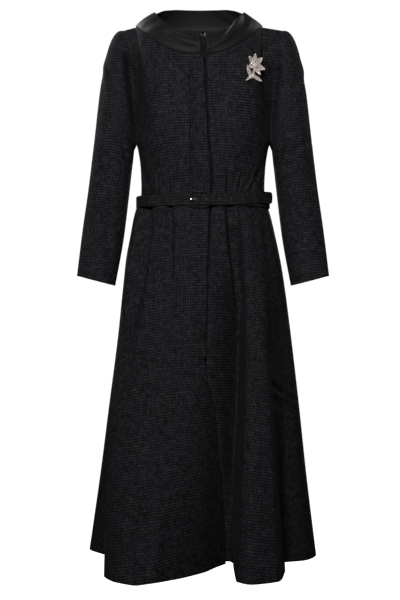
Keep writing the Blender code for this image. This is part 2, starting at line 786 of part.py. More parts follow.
for old in list(bpy.data.objects):
    bpy.data.objects.remove(old, do_unlink=True)
PARTS = collection(NAME)
TOOLS = collection(NAME + "_tools")

right_panel = right_front_grid()
left_panel = left_front_grid()
waist_line = BeltLine()

sheet("front_right", right_panel, CLOTH, -1.0, BOUCLE, 0.9)
sheet("front_left", left_panel, CLOTH, -1.0, BOUCLE, 0.9)
sheet("back", back_grid(), CLOTH, -1.0, BOUCLE, 0.9)
sheet("sleeve_right", sleeve_grid(-1), CLOTH, -1.0, BOUCLE, 0.9, wrap=True)
sheet("sleeve_left", sleeve_grid(1), CLOTH, -1.0, BOUCLE, 0.9, wrap=True)
sheet("collar", collar_grid(), SATIN, 1.0, SATIN_BLACK, 0.35)
sheet("placket", placket_grid(right_panel), STRIP, 1.0, BOUCLE, 0.9)
build_belt(waist_line)
sheet("buckle", buckle_grid(waist_line), BUCKLE_WALL, 1.0, BOUCLE, 0.85, wrap=True)
build_prong(waist_line)
build_brooch(left_panel)
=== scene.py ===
"""Looks of the belted boucle coat: cloth shells, weave, satin, belt, buckle and brooch.

Metres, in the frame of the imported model: +Z up, the front faces -Y and the wearer's left
is +X. A drop is a distance down from the shoulder line, and angles run round the body in
degrees from centre front towards +X.
"""
import math
from collections import namedtuple

import bpy
import numpy as np
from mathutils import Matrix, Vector


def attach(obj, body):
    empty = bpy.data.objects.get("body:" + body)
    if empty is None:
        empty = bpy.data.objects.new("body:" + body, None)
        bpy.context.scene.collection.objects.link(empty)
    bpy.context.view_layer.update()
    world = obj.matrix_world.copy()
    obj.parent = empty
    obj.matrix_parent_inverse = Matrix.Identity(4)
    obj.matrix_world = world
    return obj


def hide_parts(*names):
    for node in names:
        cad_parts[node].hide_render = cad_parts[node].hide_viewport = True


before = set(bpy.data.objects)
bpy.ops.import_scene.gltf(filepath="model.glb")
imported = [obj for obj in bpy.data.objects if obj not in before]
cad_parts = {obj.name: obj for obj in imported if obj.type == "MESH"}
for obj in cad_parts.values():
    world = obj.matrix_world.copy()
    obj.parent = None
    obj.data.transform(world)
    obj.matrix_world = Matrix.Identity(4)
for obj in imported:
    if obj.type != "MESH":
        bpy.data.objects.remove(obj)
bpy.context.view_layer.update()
BODY = "root"

# Cloth thickness and the space kept between pieces
CLOTH = 0.0022
SATIN = 0.0028
STRIP = 0.0014
SEAM = 0.0003
LAP_GAP = 0.0008

# Main heights, and how far below the waist the skirt's rows start
HEM_DROP = 1.215
WAIST_DROP = 0.40
UNDERARM_DROP = 0.258
SHOULDER_DROP = -0.005
SKIRT_START = 0.007

# Squareness of the body's and neck's sections; 2 is an ellipse
SQUARE = 2.2

Section = namedtuple("Section", "drop half_width front back middle")
SECTIONS = (
    Section(0.258, 0.1525, 0.120, 0.107, 0.000),
    Section(0.270, 0.1492, 0.1195, 0.1068, 0.000),
    Section(0.315, 0.1430, 0.115, 0.103, 0.000),
    Section(0.355, 0.1412, 0.107, 0.097, 0.000),
    Section(0.384, 0.1420, 0.104, 0.096, 0.000),
    Section(0.407, 0.1510, 0.107, 0.102, 0.000),
    Section(0.453, 0.1630, 0.115, 0.115, 0.002),
    Section(0.545, 0.1820, 0.128, 0.138, 0.006),
    Section(0.660, 0.1980, 0.140, 0.162, 0.012),
    Section(0.844, 0.2190, 0.152, 0.192, 0.026),
    Section(1.028, 0.2370, 0.162, 0.222, 0.038),
    Section(1.215, 0.2580, 0.170, 0.250, 0.050),
)

# Each row is a crest or a dip of the skirt: its angle at the waist and at the hem,
# how far it stands out at the hem, where it starts and how late it grows
Fold = namedtuple("Fold", "waist_angle hem_angle offset start power")
FOLDS = (
    Fold(-180, -180, -0.026, 0.55, 1.5),
    Fold(-152, -152, 0.028, 0.50, 1.5),
    Fold(-134, -138, -0.006, 0.50, 1.5),
    Fold(-114, -117, 0.043, 0.56, 1.0),
    Fold(-100, -99, -0.018, 0.56, 1.4),
    Fold(-90, -78, -0.084, 0.50, 1.3),
    Fold(-75, -51.5, -0.034, 0.52, 1.3),
    Fold(-70, -46, 0.060, 0.52, 1.5),
    Fold(-46, -33, 0.109, 0.58, 1.8),
    Fold(-26, -14, 0.043, 0.62, 1.8),
    Fold(-8, -1, -0.032, 0.66, 1.9),
    Fold(12, 6, -0.098, 0.45, 0.95),
    Fold(27, 11, -0.128, 0.45, 0.60),
    Fold(33, 14, 0.064, 0.62, 2.0),
    Fold(37, 21.6, 0.095, 0.54, 1.8),
    Fold(41, 33, 0.086, 0.50, 1.6),
    Fold(46, 41, 0.012, 0.50, 1.4),
    Fold(51, 51, -0.040, 0.48, 1.2),
    Fold(64, 68, -0.062, 0.48, 1.3),
    Fold(80, 82, -0.014, 0.50, 1.3),
    Fold(98, 99, 0.012, 0.50, 1.2),
    Fold(124, 124, -0.018, 0.50, 1.5),
    Fold(152, 152, 0.028, 0.50, 1.5),
)

# Angle up to which folds stand straight forward, and the angle over which they turn outward
PUSH_STRAIGHT = 20
PUSH_TURN = 50

# Narrower troughs that start under the belt or hang from it
Crease = namedtuple("Crease", "top_angle low_angle depth spread top_drop low_drop")
CREASES = (
    Crease(25.0, 18.0, 0.0110, 6.0, 0.406, 1.080),
    Crease(-29.0, -27.0, 0.0060, 5.5, 0.406, 0.680),
    Crease(-52.0, -62.0, 0.0055, 8.0, 0.410, 0.760),
    Crease(58.0, 56.0, 0.0050, 8.0, 0.410, 0.700),
    Crease(140.0, 143.0, 0.0070, 8.0, 0.406, 0.860),
    Crease(-142.0, -146.0, 0.0070, 8.0, 0.406, 0.860),
)

# Shares of a crease's run by which it is full and after which it dies out
CREASE_FULL = 0.12
CREASE_FADE = 0.3

# Fullness that the bust darts leave: centre, spread and height on each front
DART_X = 0.078
DART_DROP = 0.232
DART_SPREAD_X = 0.056
DART_SPREAD_DROP = 0.072
DART_RISE = 0.009

# Rounding of the row where the chest meets the trunk: blur, reach up and down, and the share
# of the way to the side where it starts to fade and over which it does
BUST_BLUR = 0.022
BUST_REACH = 0.055
BUST_INSIDE = 0.68
BUST_FADE = 0.25

# Right front's edge, from the collar down into the hem's valley
Edge = namedtuple("Edge", "drop x")
FRONT_EDGE = (
    Edge(0.060, 0.0010),
    Edge(0.216, 0.0067),
    Edge(0.359, 0.0175),
    Edge(0.403, 0.0140),
    Edge(0.614, 0.0089),
    Edge(0.745, 0.0075),
    Edge(0.878, 0.0300),
    Edge(0.935, 0.0345),
    Edge(1.035, 0.0430),
    Edge(1.215, 0.0540),
)
# How the fronts meet: the hem's lift beside the edge, the left front's set-back and groove,
# the roll of the right front's edge, and how the columns crowd towards the edge
UNDERLAP = 0.022
EDGE_RISE = 0.002
EDGE_RISE_WIDTH = 0.045
EDGE_RISE_DROP = 1.0
LAP_FULL = 0.003
LAP_CLEAR = 0.018
HEM_LAP = 0.0050
HEM_LAP_DROP = 0.95
EDGE_GROOVE = 0.0110
EDGE_GROOVE_WIDTH = 0.0080
EDGE_ROLL = 0.0035
EDGE_ROLL_WIDTH = 0.0050
RIGHT_CROWD = 1.40
LEFT_CROWD = 1.35

# Placket: a strip along the right front's edge, thin at its sewn sides, and its bar tack
PLACKET_WIDTH = 0.0240
PLACKET_END_DROP = 0.746
PLACKET_TRIM = 0.0016
PLACKET_OFF = 0.0001
PLACKET_INSET = 0.0004
PLACKET_COLUMNS = 14
PLACKET_EDGE = 0.35
PLACKET_ROUND = 6
TACK_DROP = 0.7415
TACK_STITCHES = 16
TACK_INSET = 0.0015
TACK_LENGTH = 0.0040
TACK_WIDTH = 0.0011

# Rings of the neck: seam with the body and rim of the collar. Then the collar's ends, its
# fullness, the dip of its rim at the sides, its roll, and the inner face below the seam
Ring = namedtuple("Ring", "half_width shift front back front_z side_z back_z bend back_bend")
NECK_SEAM = Ring(0.1450, -0.009, 0.096, 0.100, -0.066, 0.013, 0.034, 2.3, 2.3)
COLLAR_RIM = Ring(0.1035, -0.0085, 0.082, 0.088, -0.017, 0.049, 0.070, 3.1, 5.0)
COLLAR_START = 4.2
COLLAR_END = 362.6
COLLAR_BOW = 0.0080
COLLAR_SEAT = 0.0010
COLLAR_KEEP = 0.2
RIM_DIP = 0.0045
RIM_DIP_POWER = 5.0
RIM_STEPS = 7
FACING = 0.014
FACING_INSET = 0.0036
FACING_WALL = 0.0010
FACING_ROWS = (0.3, 0.6, 1.0)

# Hook at the collar's opening: its place on the band's grid, and its wire
HOOK_ROW = 9
HOOK_COLUMN = 2
HOOK_WIRE = 0.0006
HOOK_LENGTH = 0.0042
HOOK_STEPS = 12
HOOK_SET = 0.25
HOOK_SEAT = 0.4
HOOK_ARCH = 1.2

# Armhole: x of its seam by drop, and its depth either side of the shoulder line
Seam = namedtuple("Seam", "drop x")
ARMHOLE = (
    Seam(-0.005, 0.1845),
    Seam(0.033, 0.1735),
    Seam(0.117, 0.1640),
    Seam(0.174, 0.1575),
    Seam(0.240, 0.1520),
    Seam(0.258, 0.1525),
)
ARMHOLE_FRONT = 0.042
ARMHOLE_BACK = 0.066
ARMHOLE_GAP = 0.0004
FLANGE_DEPTH = 0.0035
FLANGE_WIDTH = 0.0060
CHEST_TURN = 2.6
CHEST_LEAN = 1.5

# Sleeve rings below the armhole: inner and outer edge seen from the front
Cuff = namedtuple("Cuff", "inner_x inner_drop outer_x outer_drop half_depth middle")
SLEEVE = (
    Cuff(0.1585, 0.2720, 0.2505, 0.2500, 0.057, 0.004),
    Cuff(0.1700, 0.3740, 0.2625, 0.3500, 0.053, 0.003),
    Cuff(0.1815, 0.4740, 0.2755, 0.4500, 0.050, -0.010),
    Cuff(0.2000, 0.5815, 0.2875, 0.5590, 0.047, -0.026),
)
CAP_OUT = Vector((1.0, 0.0, 0.16))
CAP_DOWN = Vector((0.12, 0.0, -1.0))
CAP_FULLNESS = 0.50

# Belt: a strap from the buckle's far bar right round and over itself. The lengths after its
# holes say where it climbs over the bars, settles on itself and curls up at the tip
BELT_WIDTH = 0.0265
BELT_WALL = 0.0024
BELT_DROP = 0.391
BELT_PATH_DROP = 0.402
BELT_LIFT = 0.0024
TONGUE_TIP = 0.180
TONGUE_RISE = 0.009
TIP_ROUND = 0.008
HOLE_RADIUS = 0.0021
HOLES = (-0.0150, 0.0067, 0.0342, 0.0611, 0.0880)
NEAR_BAR_CLEAR = 0.002
FAR_BAR_CLIMB = 0.003
FAR_BAR_CLEAR = 0.004
LAP_SETTLE = 0.028
LAP_START = 0.045
TIP_CURL_START = 0.13
TIP_CURL = 0.005
TIP_BLUNT = 0.96
TONGUE_RISE_START = 0.02
STRAP_FLAT = 0.35
STRAP_EDGE = 0.55
WAIST_STEP = 0.004

# Stitch lines of the belt, the rims of its holes, and the very dark rings sunk in them as painted shade
# inside the holes
BELT_GROOVE = 0.00035
BELT_GROOVE_PLACE = 0.74
BELT_GROOVE_WIDTH = 0.045
STITCH = 0.0032
STITCH_GAP = 0.0014
STITCH_WIDTH = 0.00055
STITCH_START = 0.004
STITCH_STEP = 0.001
STITCH_SINK = 0.4
RIM_LIFT = 0.0001
RIM_THICK = 0.0005
HOLE_SINK = 0.0005
SHADE_RING_SHARE = 0.45

# Covered buckle, and the prong: its stations on the near bar and how far it sinks at each
BUCKLE_X = -0.0070
BUCKLE_WIDTH = 0.0440
BUCKLE_HEIGHT = 0.0378
BUCKLE_BAR = 0.0050
BUCKLE_WALL = 0.0030
BUCKLE_CORNER = 0.0075
PRONG_RADIUS = 0.0014
PRONG_TAPER = 0.5
PRONG_TIP = 0.12
PRONG_STEPS = 24
PRONG_OVERHANG = 0.0005
PRONG_REST = 0.6
PRONG_LEAVE = 0.0012
PRONG_SHORT = 0.0003
PRONG_SINKS = (0.0, 0.0, 0.0001, 0.0009)

# Brooch on the left front: where it is pinned and its parts in its own plane
BROOCH_X = 0.115
BROOCH_DROP = 0.098
Petal = namedtuple("Petal", "root_x root_z turn length width lift")
PETALS = (
    Petal(0.0, 0.0, 88, 0.0270, 0.0115, 0.10),
    Petal(0.0, 0.0, 44, 0.0275, 0.0120, 0.16),
    Petal(0.0, 0.0, -14, 0.0270, 0.0120, 0.12),
    Petal(0.0, 0.0, -64, 0.0240, 0.0110, 0.10),
    Petal(0.0, 0.0, 138, 0.0265, 0.0120, 0.16),
    Petal(0.0, 0.0, 192, 0.0220, 0.0110, 0.12),
)
# Upper and lower stem, then the left and right leaf
LEAVES = (
    Petal(-0.001, -0.003, 252, 0.0280, 0.0044, 0.00),
    Petal(-0.0062, -0.0190, 214, 0.0290, 0.0050, 0.00),
    Petal(-0.0125, -0.0245, 113, 0.0270, 0.0085, 0.06),
    Petal(-0.0070, -0.0210, 334, 0.0260, 0.0075, 0.05),
)
PETAL_WALL = 0.0011
PETAL_INSET = 0.12
PETAL_PLUMP = 1.08
PETAL_CUP = 0.10
PETAL_BASE = 0.0012
STONE_SIZE = (0.0022, 0.0022, 0.0016)
FLOWER_CENTRE = (-0.001, 0.009)
BROOCH_STANDOFF = 0.0013
BROOCH_SCALE = 1.14
BROOCH_HEART = 0.0042
HEART_HEIGHT = 0.0034

# Creases: ends across and down the front view, depth, half width and how far the line
# bows aside. A negative depth is a ridge.
Wrinkle = namedtuple("Wrinkle", "x1 drop1 x2 drop2 depth width bow")
FRONT_WRINKLES = (
    Wrinkle(0.1038, 0.372, 0.1304, 0.315, 0.0030, 0.0050, 0.002),
    Wrinkle(0.0883, 0.368, 0.1080, 0.330, 0.0024, 0.0040, 0.002),
    Wrinkle(0.0562, 0.384, 0.0555, 0.330, 0.0034, 0.0040, 0.000),
    Wrinkle(0.0662, 0.384, 0.0800, 0.330, -0.0028, 0.0040, 0.001),
    Wrinkle(-0.1008, 0.384, -0.1015, 0.334, 0.0028, 0.0038, 0.000),
    Wrinkle(-0.0793, 0.384, -0.0785, 0.334, 0.0034, 0.0038, 0.000),
    Wrinkle(-0.1180, 0.372, -0.1330, 0.322, 0.0026, 0.0050, -0.002),
    Wrinkle(-0.0262, 0.078, -0.0255, 0.372, 0.0036, 0.0030, 0.000),
    Wrinkle(-0.0105, 0.410, -0.0165, 0.742, 0.0012, 0.0030, 0.001),
    Wrinkle(-0.0090, 0.744, 0.0415, 0.748, 0.0030, 0.0036, 0.000),
    Wrinkle(0.0020, 0.706, 0.0100, 0.738, -0.0026, 0.0040, 0.001),
    Wrinkle(0.1550, 0.800, 0.2080, 0.842, 0.0060, 0.0055, 0.003),
    Wrinkle(0.1580, 0.836, 0.2000, 0.872, 0.0022, 0.0070, 0.003),
    Wrinkle(-0.1200, 1.040, -0.1450, 1.240, 0.0120, 0.0220, 0.006),
    Wrinkle(-0.0330, 0.415, -0.0335, 0.450, 0.0014, 0.0050, 0.000),
    Wrinkle(0.1150, 0.412, 0.1260, 0.520, 0.0022, 0.0080, 0.002),
    Wrinkle(-0.1240, 0.396, -0.1560, 0.640, 0.0180, 0.0130, -0.004),
    Wrinkle(-0.0735, 0.385, -0.0725, 0.560, 0.0100, 0.0075, 0.001),
    Wrinkle(-0.1040, 0.396, -0.1070, 0.460, 0.0032, 0.0055, 0.000),
    Wrinkle(0.0560, 0.385, 0.0810, 0.610, 0.0110, 0.0085, 0.002),
    Wrinkle(0.1000, 0.150, 0.1300, 0.205, 0.0012, 0.0080, 0.004),
    Wrinkle(-0.1000, 0.160, -0.1300, 0.210, 0.0012, 0.0080, -0.004),
)
BACK_WRINKLES = (
    Wrinkle(-0.0600, 0.376, -0.0540, 0.300, 0.0020, 0.0060, 0.002),
    Wrinkle(0.0620, 0.376, 0.0560, 0.296, 0.0020, 0.0060, -0.002),
    Wrinkle(-0.0900, 0.372, -0.1240, 0.310, 0.0020, 0.0060, -0.002),
    Wrinkle(0.0940, 0.372, 0.1260, 0.318, 0.0018, 0.0060, 0.002),
    Wrinkle(-0.0250, 0.374, 0.0100, 0.345, 0.0012, 0.0070, 0.003),
    Wrinkle(-0.0500, 0.414, -0.0560, 0.520, 0.0024, 0.0080, -0.002),
    Wrinkle(0.0420, 0.414, 0.0500, 0.500, 0.0022, 0.0080, 0.002),
    Wrinkle(-0.1420, 0.700, -0.1900, 0.748, 0.0030, 0.0080, -0.003),
    Wrinkle(0.1500, 0.640, 0.1880, 0.690, 0.0026, 0.0080, 0.003),
)
RIGHT_SLEEVE_WRINKLES = (
    Wrinkle(-0.2254, 0.070, -0.2116, 0.152, -0.0034, 0.0055, 0.002),
    Wrinkle(-0.2337, 0.186, -0.1932, 0.220, 0.0020, 0.0060, 0.003),
    Wrinkle(-0.2300, 0.277, -0.1780, 0.318, 0.0021, 0.0070, 0.003),
    Wrinkle(-0.2420, 0.335, -0.2060, 0.312, 0.0016, 0.0070, -0.003),
    Wrinkle(-0.2093, 0.405, -0.2130, 0.500, 0.0024, 0.0070, 0.002),
    Wrinkle(-0.1830, 0.240, -0.1700, 0.300, 0.0018, 0.0060, 0.002),
)
LEFT_SLEEVE_WRINKLES = (
    Wrinkle(0.2290, 0.075, 0.2123, 0.166, -0.0034, 0.0055, -0.002),
    Wrinkle(0.1874, 0.216, 0.2180, 0.166, 0.0021, 0.0060, -0.002),
    Wrinkle(0.2000, 0.290, 0.2400, 0.254, 0.0021, 0.0070, -0.003),
    Wrinkle(0.1850, 0.320, 0.2280, 0.296, 0.0015, 0.0070, -0.003),
    Wrinkle(0.2139, 0.370, 0.2130, 0.450, 0.0023, 0.0060, -0.002),
    Wrinkle(0.1820, 0.245, 0.1720, 0.305, 0.0018, 0.0060, -0.002),
)
SLEEVE_BACK_WRINKLES = (
    Wrinkle(0.1800, 0.300, 0.2300, 0.285, 0.0024, 0.0080, 0.004),
    Wrinkle(0.1850, 0.345, 0.2420, 0.335, 0.0028, 0.0080, 0.005),
    Wrinkle(0.1900, 0.390, 0.2400, 0.385, 0.0022, 0.0080, 0.004),
    Wrinkle(0.1750, 0.150, 0.2150, 0.215, 0.0020, 0.0080, -0.003),
)
# Creases of the collar: lengths round the neck from centre front and up the band
COLLAR_WRINKLES = (
    Wrinkle(0.000, -0.030, 0.000, 0.090, 0.0070, 0.0036, 0.000),
    Wrinkle(0.050, 0.026, 0.140, 0.056, -0.0046, 0.0075, 0.000),
    Wrinkle(0.028, 0.010, 0.125, 0.034, 0.0044, 0.0070, 0.000),
    Wrinkle(-0.014, 0.026, -0.088, 0.036, -0.0052, 0.0085, 0.000),
    Wrinkle(-0.150, 0.010, -0.135, 0.050, 0.0016, 0.0110, 0.000),
    Wrinkle(0.165, 0.008, 0.185, 0.050, 0.0016, 0.0120, 0.003),
    Wrinkle(0.275, 0.006, 0.315, 0.046, 0.0014, 0.0110, 0.003),
    Wrinkle(-0.270, 0.010, -0.300, 0.048, 0.0014, 0.0110, -0.003),
)
WRINKLE_FADE = 0.28
# The lip that stands up beside a crease: its share of the depth, and its place and width in
# the crease's half widths. Then how softly creases of the front give way to those of the back
LIP = 0.4
LIP_PLACE = 1.7
LIP_WIDTH = 0.8
TURN_BLEND = 0.6

# Hollow beside the front armhole seams: its depth on the wearer's right and left, its half
# width on the body and on the sleeve, and how it fades at the top, underarm and shoulder line
HOLLOW_RIGHT = 0.034
HOLLOW_LEFT = 0.026
HOLLOW_BODY = 0.026
HOLLOW_SLEEVE = 0.009
HOLLOW_TOP_DROP = 0.02
HOLLOW_TOP_FADE = 0.08
HOLLOW_PAST_UNDERARM = 0.01
HOLLOW_LOW_FADE = 0.07
HOLLOW_DEPTH_FADE = 0.03

# Mesh: columns and rows of the cloth grids, and fine points along a ring before they are spread
FRONT_COLUMNS = 150
BACK_COLUMNS = 150
SKIRT_ROWS = 150
WAIST_ROWS = 32
CHEST_ROWS = 66
SLEEVE_TURNS = 52
SLEEVE_ROWS = 96
CAP_ROWS = 44
COLLAR_COLUMNS = 300
COLLAR_ROWS = 16
BELT_COLUMNS = 420
LAP_COLUMNS = 150
PROFILE = 28
TIP_COLUMNS = 9
FRONT_SAMPLES = 481
BACK_SAMPLES = 721
NECK_SAMPLES = 321
WAIST_SAMPLES = 1441
SIDE_TRIM = 0.0002

# Grain: how far the flare draws the weft down at the side seams, by drop
Droop = namedtuple("Droop", "drop fall")
FLARE_DROOP = (
    Droop(0.10, 0.000),
    Droop(0.40, 0.030),
    Droop(1.215, 0.100),
)
GRAIN = "grain"
UP = np.array([0.0, 0.0, 1.0])

# Weave: sizes of its cells, wander of its yarns, and scales of the patches where it changes
WARP = 0.0050
WEFT = 0.0060
YARN_WANDER = 0.0022
WANDER_SCALE = 70.0
BRICK_PATCH = 14.0
LEAD_PATCH = 20.0
SLUB_SCALE = 60.0
SLUB_STEP = 3.7
FLECK_SCALE = 420.0


def monotone(xs, ys, at):
    """Smooth curve through a table's points that never overshoots them."""
    xs = np.asarray(xs, float)
    ys = np.asarray(ys, float)
    step = np.diff(xs)
    rise = np.diff(ys) / step
    slope = np.zeros(len(xs))
    before, after = rise[:-1], rise[1:]
    same = before * after > 0
    slope[1:-1][same] = 2 * before[same] * after[same] / (before[same] + after[same])
    slope[0], slope[-1] = rise[0], rise[-1]
    at = np.asarray(at, float)
    i = np.clip(np.searchsorted(xs, at) - 1, 0, len(step) - 1)
    t = np.clip((at - xs[i]) / step[i], 0.0, 1.0)
    low = ys[i] * (1 + 2 * t) * (1 - t) ** 2 + slope[i] * step[i] * t * (1 - t) ** 2
    high = ys[i + 1] * t * t * (3 - 2 * t) + slope[i + 1] * step[i] * t * t * (t - 1)
    return low + high


def ease(t):
    t = np.clip(t, 0.0, 1.0)
    return t * t * (3 - 2 * t)


def field(table, name):
    return np.array([getattr(row, name) for row in table])


def curve(table, name, at, by="drop"):
    """One column of a table as a smooth curve over another."""
    return monotone(field(table, by), field(table, name), at)


def unit(vectors):
    """The same directions, each at length one."""
    return vectors / np.linalg.norm(vectors, axis=-1, keepdims=True)


def run(points, axis=0):
    """Lengths along lines of points, from nought at each line's start."""
    steps = np.linalg.norm(np.diff(points, axis=axis), axis=-1)
    return np.insert(np.cumsum(steps, axis=axis), 0, 0.0, axis=axis)


def places(wanted, length, points):
    """Points at these lengths along a line."""
    return np.stack([np.interp(wanted, length, points[:, k]) for k in range(3)], axis=-1)


def spread(points, fractions):
    """Points at these fractions of a line's length."""
    length = run(points)
    return places(np.asarray(fractions) * length[-1], length, points)


def section(drop):
    return Section(drop, *(float(curve(SECTIONS, name, drop)) for name in Section._fields[1:]))


def fold_offset(angle, drop):
    """How far the skirt's folds stand out at these angles and this height."""
    along = np.clip((drop - WAIST_DROP) / (HEM_DROP - WAIST_DROP), 0.0, 1.0)
    start = field(FOLDS, "start")
    grown = np.clip((drop - start) / (HEM_DROP - start), 0.0, 1.0)
    waist = field(FOLDS, "waist_angle")
    angles = waist + (field(FOLDS, "hem_angle") - waist) * along
    offsets = field(FOLDS, "offset") * grown ** field(FOLDS, "power")
    turns = np.concatenate([angles - 360, angles, angles + 360])
    return monotone(turns, np.tile(offsets, 3), angle)


def crease_offset(angle, drop):
    """Depth of the narrow troughs, growing from the belt and dying out below."""
    turn = (np.asarray(angle, float) + 180) % 360 - 180
    total = np.zeros_like(turn)
    for crease in CREASES:
        along = (drop - crease.top_drop) / (crease.low_drop - crease.top_drop)
        if 0 < along < 1:
            middle = crease.top_angle + (crease.low_angle - crease.top_angle) * along
            fade = ease((along - CREASE_FADE) / (1 - CREASE_FADE))
            strength = ease(along / CREASE_FULL) * (1 - fade)
            total -= crease.depth * strength * np.exp(-(((turn - middle) / crease.spread) ** 2))
    return total


def push_direction(angle):
    """Folds stand straight forward at the front and turn outward at the sides."""
    turn = (angle + 180) % 360 - 180
    return np.radians(turn * ease((np.abs(turn) - PUSH_STRAIGHT) / PUSH_TURN))


def squared_turn(angle):
    """Sine and cosine of angles in degrees, squared off as the sections are."""
    turn = np.radians(np.asarray(angle, float))
    return tuple(np.sign(v) * np.abs(v) ** (2 / SQUARE) for v in (np.sin(turn), np.cos(turn)))


def body_ring(angle, drop):
    """Points of the body's outer surface at one height."""
    s = section(drop)
    sine, cosine = squared_turn(angle)
    depth = np.where(cosine > 0, s.front + s.middle, s.back - s.middle)
    push = fold_offset(angle, drop) + crease_offset(angle, drop)
    way = push_direction(angle)
    x = s.half_width * sine + push * np.sin(way)
    y = s.middle - depth * cosine - push * np.cos(way)
    lift = EDGE_RISE * np.exp(-((x - FRONT_EDGE[-1].x) / EDGE_RISE_WIDTH) ** 2) * (y < 0)
    z = -drop + lift * ease((drop - EDGE_RISE_DROP) / (HEM_DROP - EDGE_RISE_DROP))
    return np.stack([x, y, z], axis=-1)


def neck_ring(ring, angle):
    """Points of a ring round the neck, low at the front and high at the back."""
    sine, cosine = squared_turn(angle)
    reach = np.abs(sine)
    low = ring.front_z + (ring.side_z - ring.front_z) * reach ** ring.bend
    high = ring.back_z + (ring.side_z - ring.back_z) * reach ** ring.back_bend
    x = ring.shift + ring.half_width * sine
    y = np.where(cosine > 0, -ring.front * cosine, -ring.back * cosine)
    return np.stack([x, y, np.where(cosine > 0, low, high)], axis=-1)


def edge_x(drop):
    return float(curve(FRONT_EDGE, "x", drop))


def angle_at(x, half_width):
    return math.degrees(math.asin(math.copysign(abs(x / half_width) ** (SQUARE / 2), x)))


def armhole(turn, side, back):
    """Armhole seam from the underarm (turn 0) to the shoulder point (turn pi)."""
    middle = (UNDERARM_DROP + SHOULDER_DROP) / 2
    half = (UNDERARM_DROP - SHOULDER_DROP) / 2
    turn = np.asarray(turn, float)
    drop = middle + half * np.cos(turn)
    x = curve(ARMHOLE, "x", drop)
    y = np.sin(turn) * (ARMHOLE_BACK if back else -ARMHOLE_FRONT)
    return np.stack([side * x, y, -drop], axis=-1)


def chest_turns():
    """Turns of the chest rows, spaced between even turns and even heights."""
    even = np.linspace(0.0, 1.0, CHEST_ROWS + 1)
    return (math.pi * even + np.arccos(1 - 2 * even)) / 2


def trunk_drops():
    skirt = np.linspace(HEM_DROP, WAIST_DROP + SKIRT_START, SKIRT_ROWS + 1)
    waist = np.linspace(WAIST_DROP + SKIRT_START, UNDERARM_DROP, WAIST_ROWS + 1)
    return np.concatenate([skirt, waist[1:]])


def chest_rows(lower, upper, outer):
    """Rows from the underarm row to the neck and shoulder, between centre and armhole.

    lower and upper run from centre to side, and outer is the armhole seam.
    """
    length = run(lower)
    near_armhole = (length / length[-1])[:, None] ** CHEST_TURN
    rows = []
    for row, turn in enumerate(chest_turns()):
        w = (1 - math.cos(turn)) / 2
        straight = lower * (1 - w) + upper * w
        late = w ** CHEST_LEAN
        straight[:, 1] = lower[:, 1] * (1 - late) + upper[:, 1] * late
        rows.append(straight + near_armhole * (outer[row] - straight[-1]))
    return rows


def trim_top(rows, gap):
    """Lowers the top row by a gap along the columns."""
    rows[-1] = rows[-1] + unit(rows[-2] - rows[-1]) * gap
    return rows


def trim_side(grid, column, gap):
    """Draws an end column in by a gap along the rows."""
    inner = 1 if column == 0 else -2
    grid[:, column] = grid[:, column] + unit(grid[:, inner] - grid[:, column]) * gap
    return grid


def normals(grid):
    return unit(np.cross(np.gradient(grid, axis=1), np.gradient(grid, axis=0)))


def add_dart_fullness(grid):
    x = (np.abs(grid[..., 0]) - DART_X) / DART_SPREAD_X
    z = (-grid[..., 2] - DART_DROP) / DART_SPREAD_DROP
    grid[..., 1] -= DART_RISE * np.exp(-x * x - z * z)
    return grid


def front_grid(side, edge_shift, power):
    """One front's outer surface, rows from the hem up, columns by rising angle.

    edge_shift moves its centre edge from the right front's edge, and power crowds the
    columns towards it.
    """
    fractions = np.linspace(0.0, 1.0, FRONT_COLUMNS + 1) ** power
    rows = []
    for drop in trunk_drops():
        start = angle_at(edge_x(drop) + edge_shift, section(drop).half_width)
        ring = body_ring(np.linspace(start, 90 * side, FRONT_SAMPLES), drop)
        rows.append(spread(ring, fractions))
    neck_x = edge_x(FRONT_EDGE[0].drop) + edge_shift - NECK_SEAM.shift
    start = angle_at(neck_x, NECK_SEAM.half_width)
    neck = neck_ring(NECK_SEAM, np.linspace(start, 90 * side, NECK_SAMPLES))
    outer = armhole(chest_turns(), side, False)
    upper = spread(np.vstack([neck, outer[-1:]]), fractions)
    rows += chest_rows(rows[-1], upper, outer)[1:]
    grid = np.array(rows)
    if side < 0:
        grid = grid[:, ::-1].copy()
    grid = trim_side(grid, 0 if side < 0 else -1, SIDE_TRIM)
    return soften_bust_row(add_dart_fullness(grid), -1 if side < 0 else 0)


def right_front_grid():
    """The right front, its centre edge rolled in towards the left front."""
    grid = front_grid(-1, 0.0, RIGHT_CROWD)
    near = np.clip(1 - np.abs(share_from(grid, -1)[0]) / EDGE_ROLL_WIDTH, 0.0, 1.0)
    grid = grid - normals(grid) * (EDGE_ROLL * near**2)[..., None]
    return crumple(grid, FRONT_WRINKLES, ())


def left_front_grid():
    """The left front, set back under the right front along centre front."""
    grid = front_grid(1, -UNDERLAP, LEFT_CROWD)
    edge = np.array([edge_x(-z) for z in grid[:, 0, 2]])[:, None]
    past = grid[..., 0] - edge
    inset = 1 - ease((past - LAP_FULL) / (LAP_CLEAR - LAP_FULL))
    loose = HEM_LAP * ease((-grid[..., 2] - HEM_LAP_DROP) / (HEM_DROP - HEM_LAP_DROP))
    groove = EDGE_GROOVE * (1 - ease(past / EDGE_GROOVE_WIDTH))
    grid = grid - normals(grid) * (inset * (CLOTH + LAP_GAP + loose) + groove)[..., None]
    return crumple(grid, FRONT_WRINKLES, ())


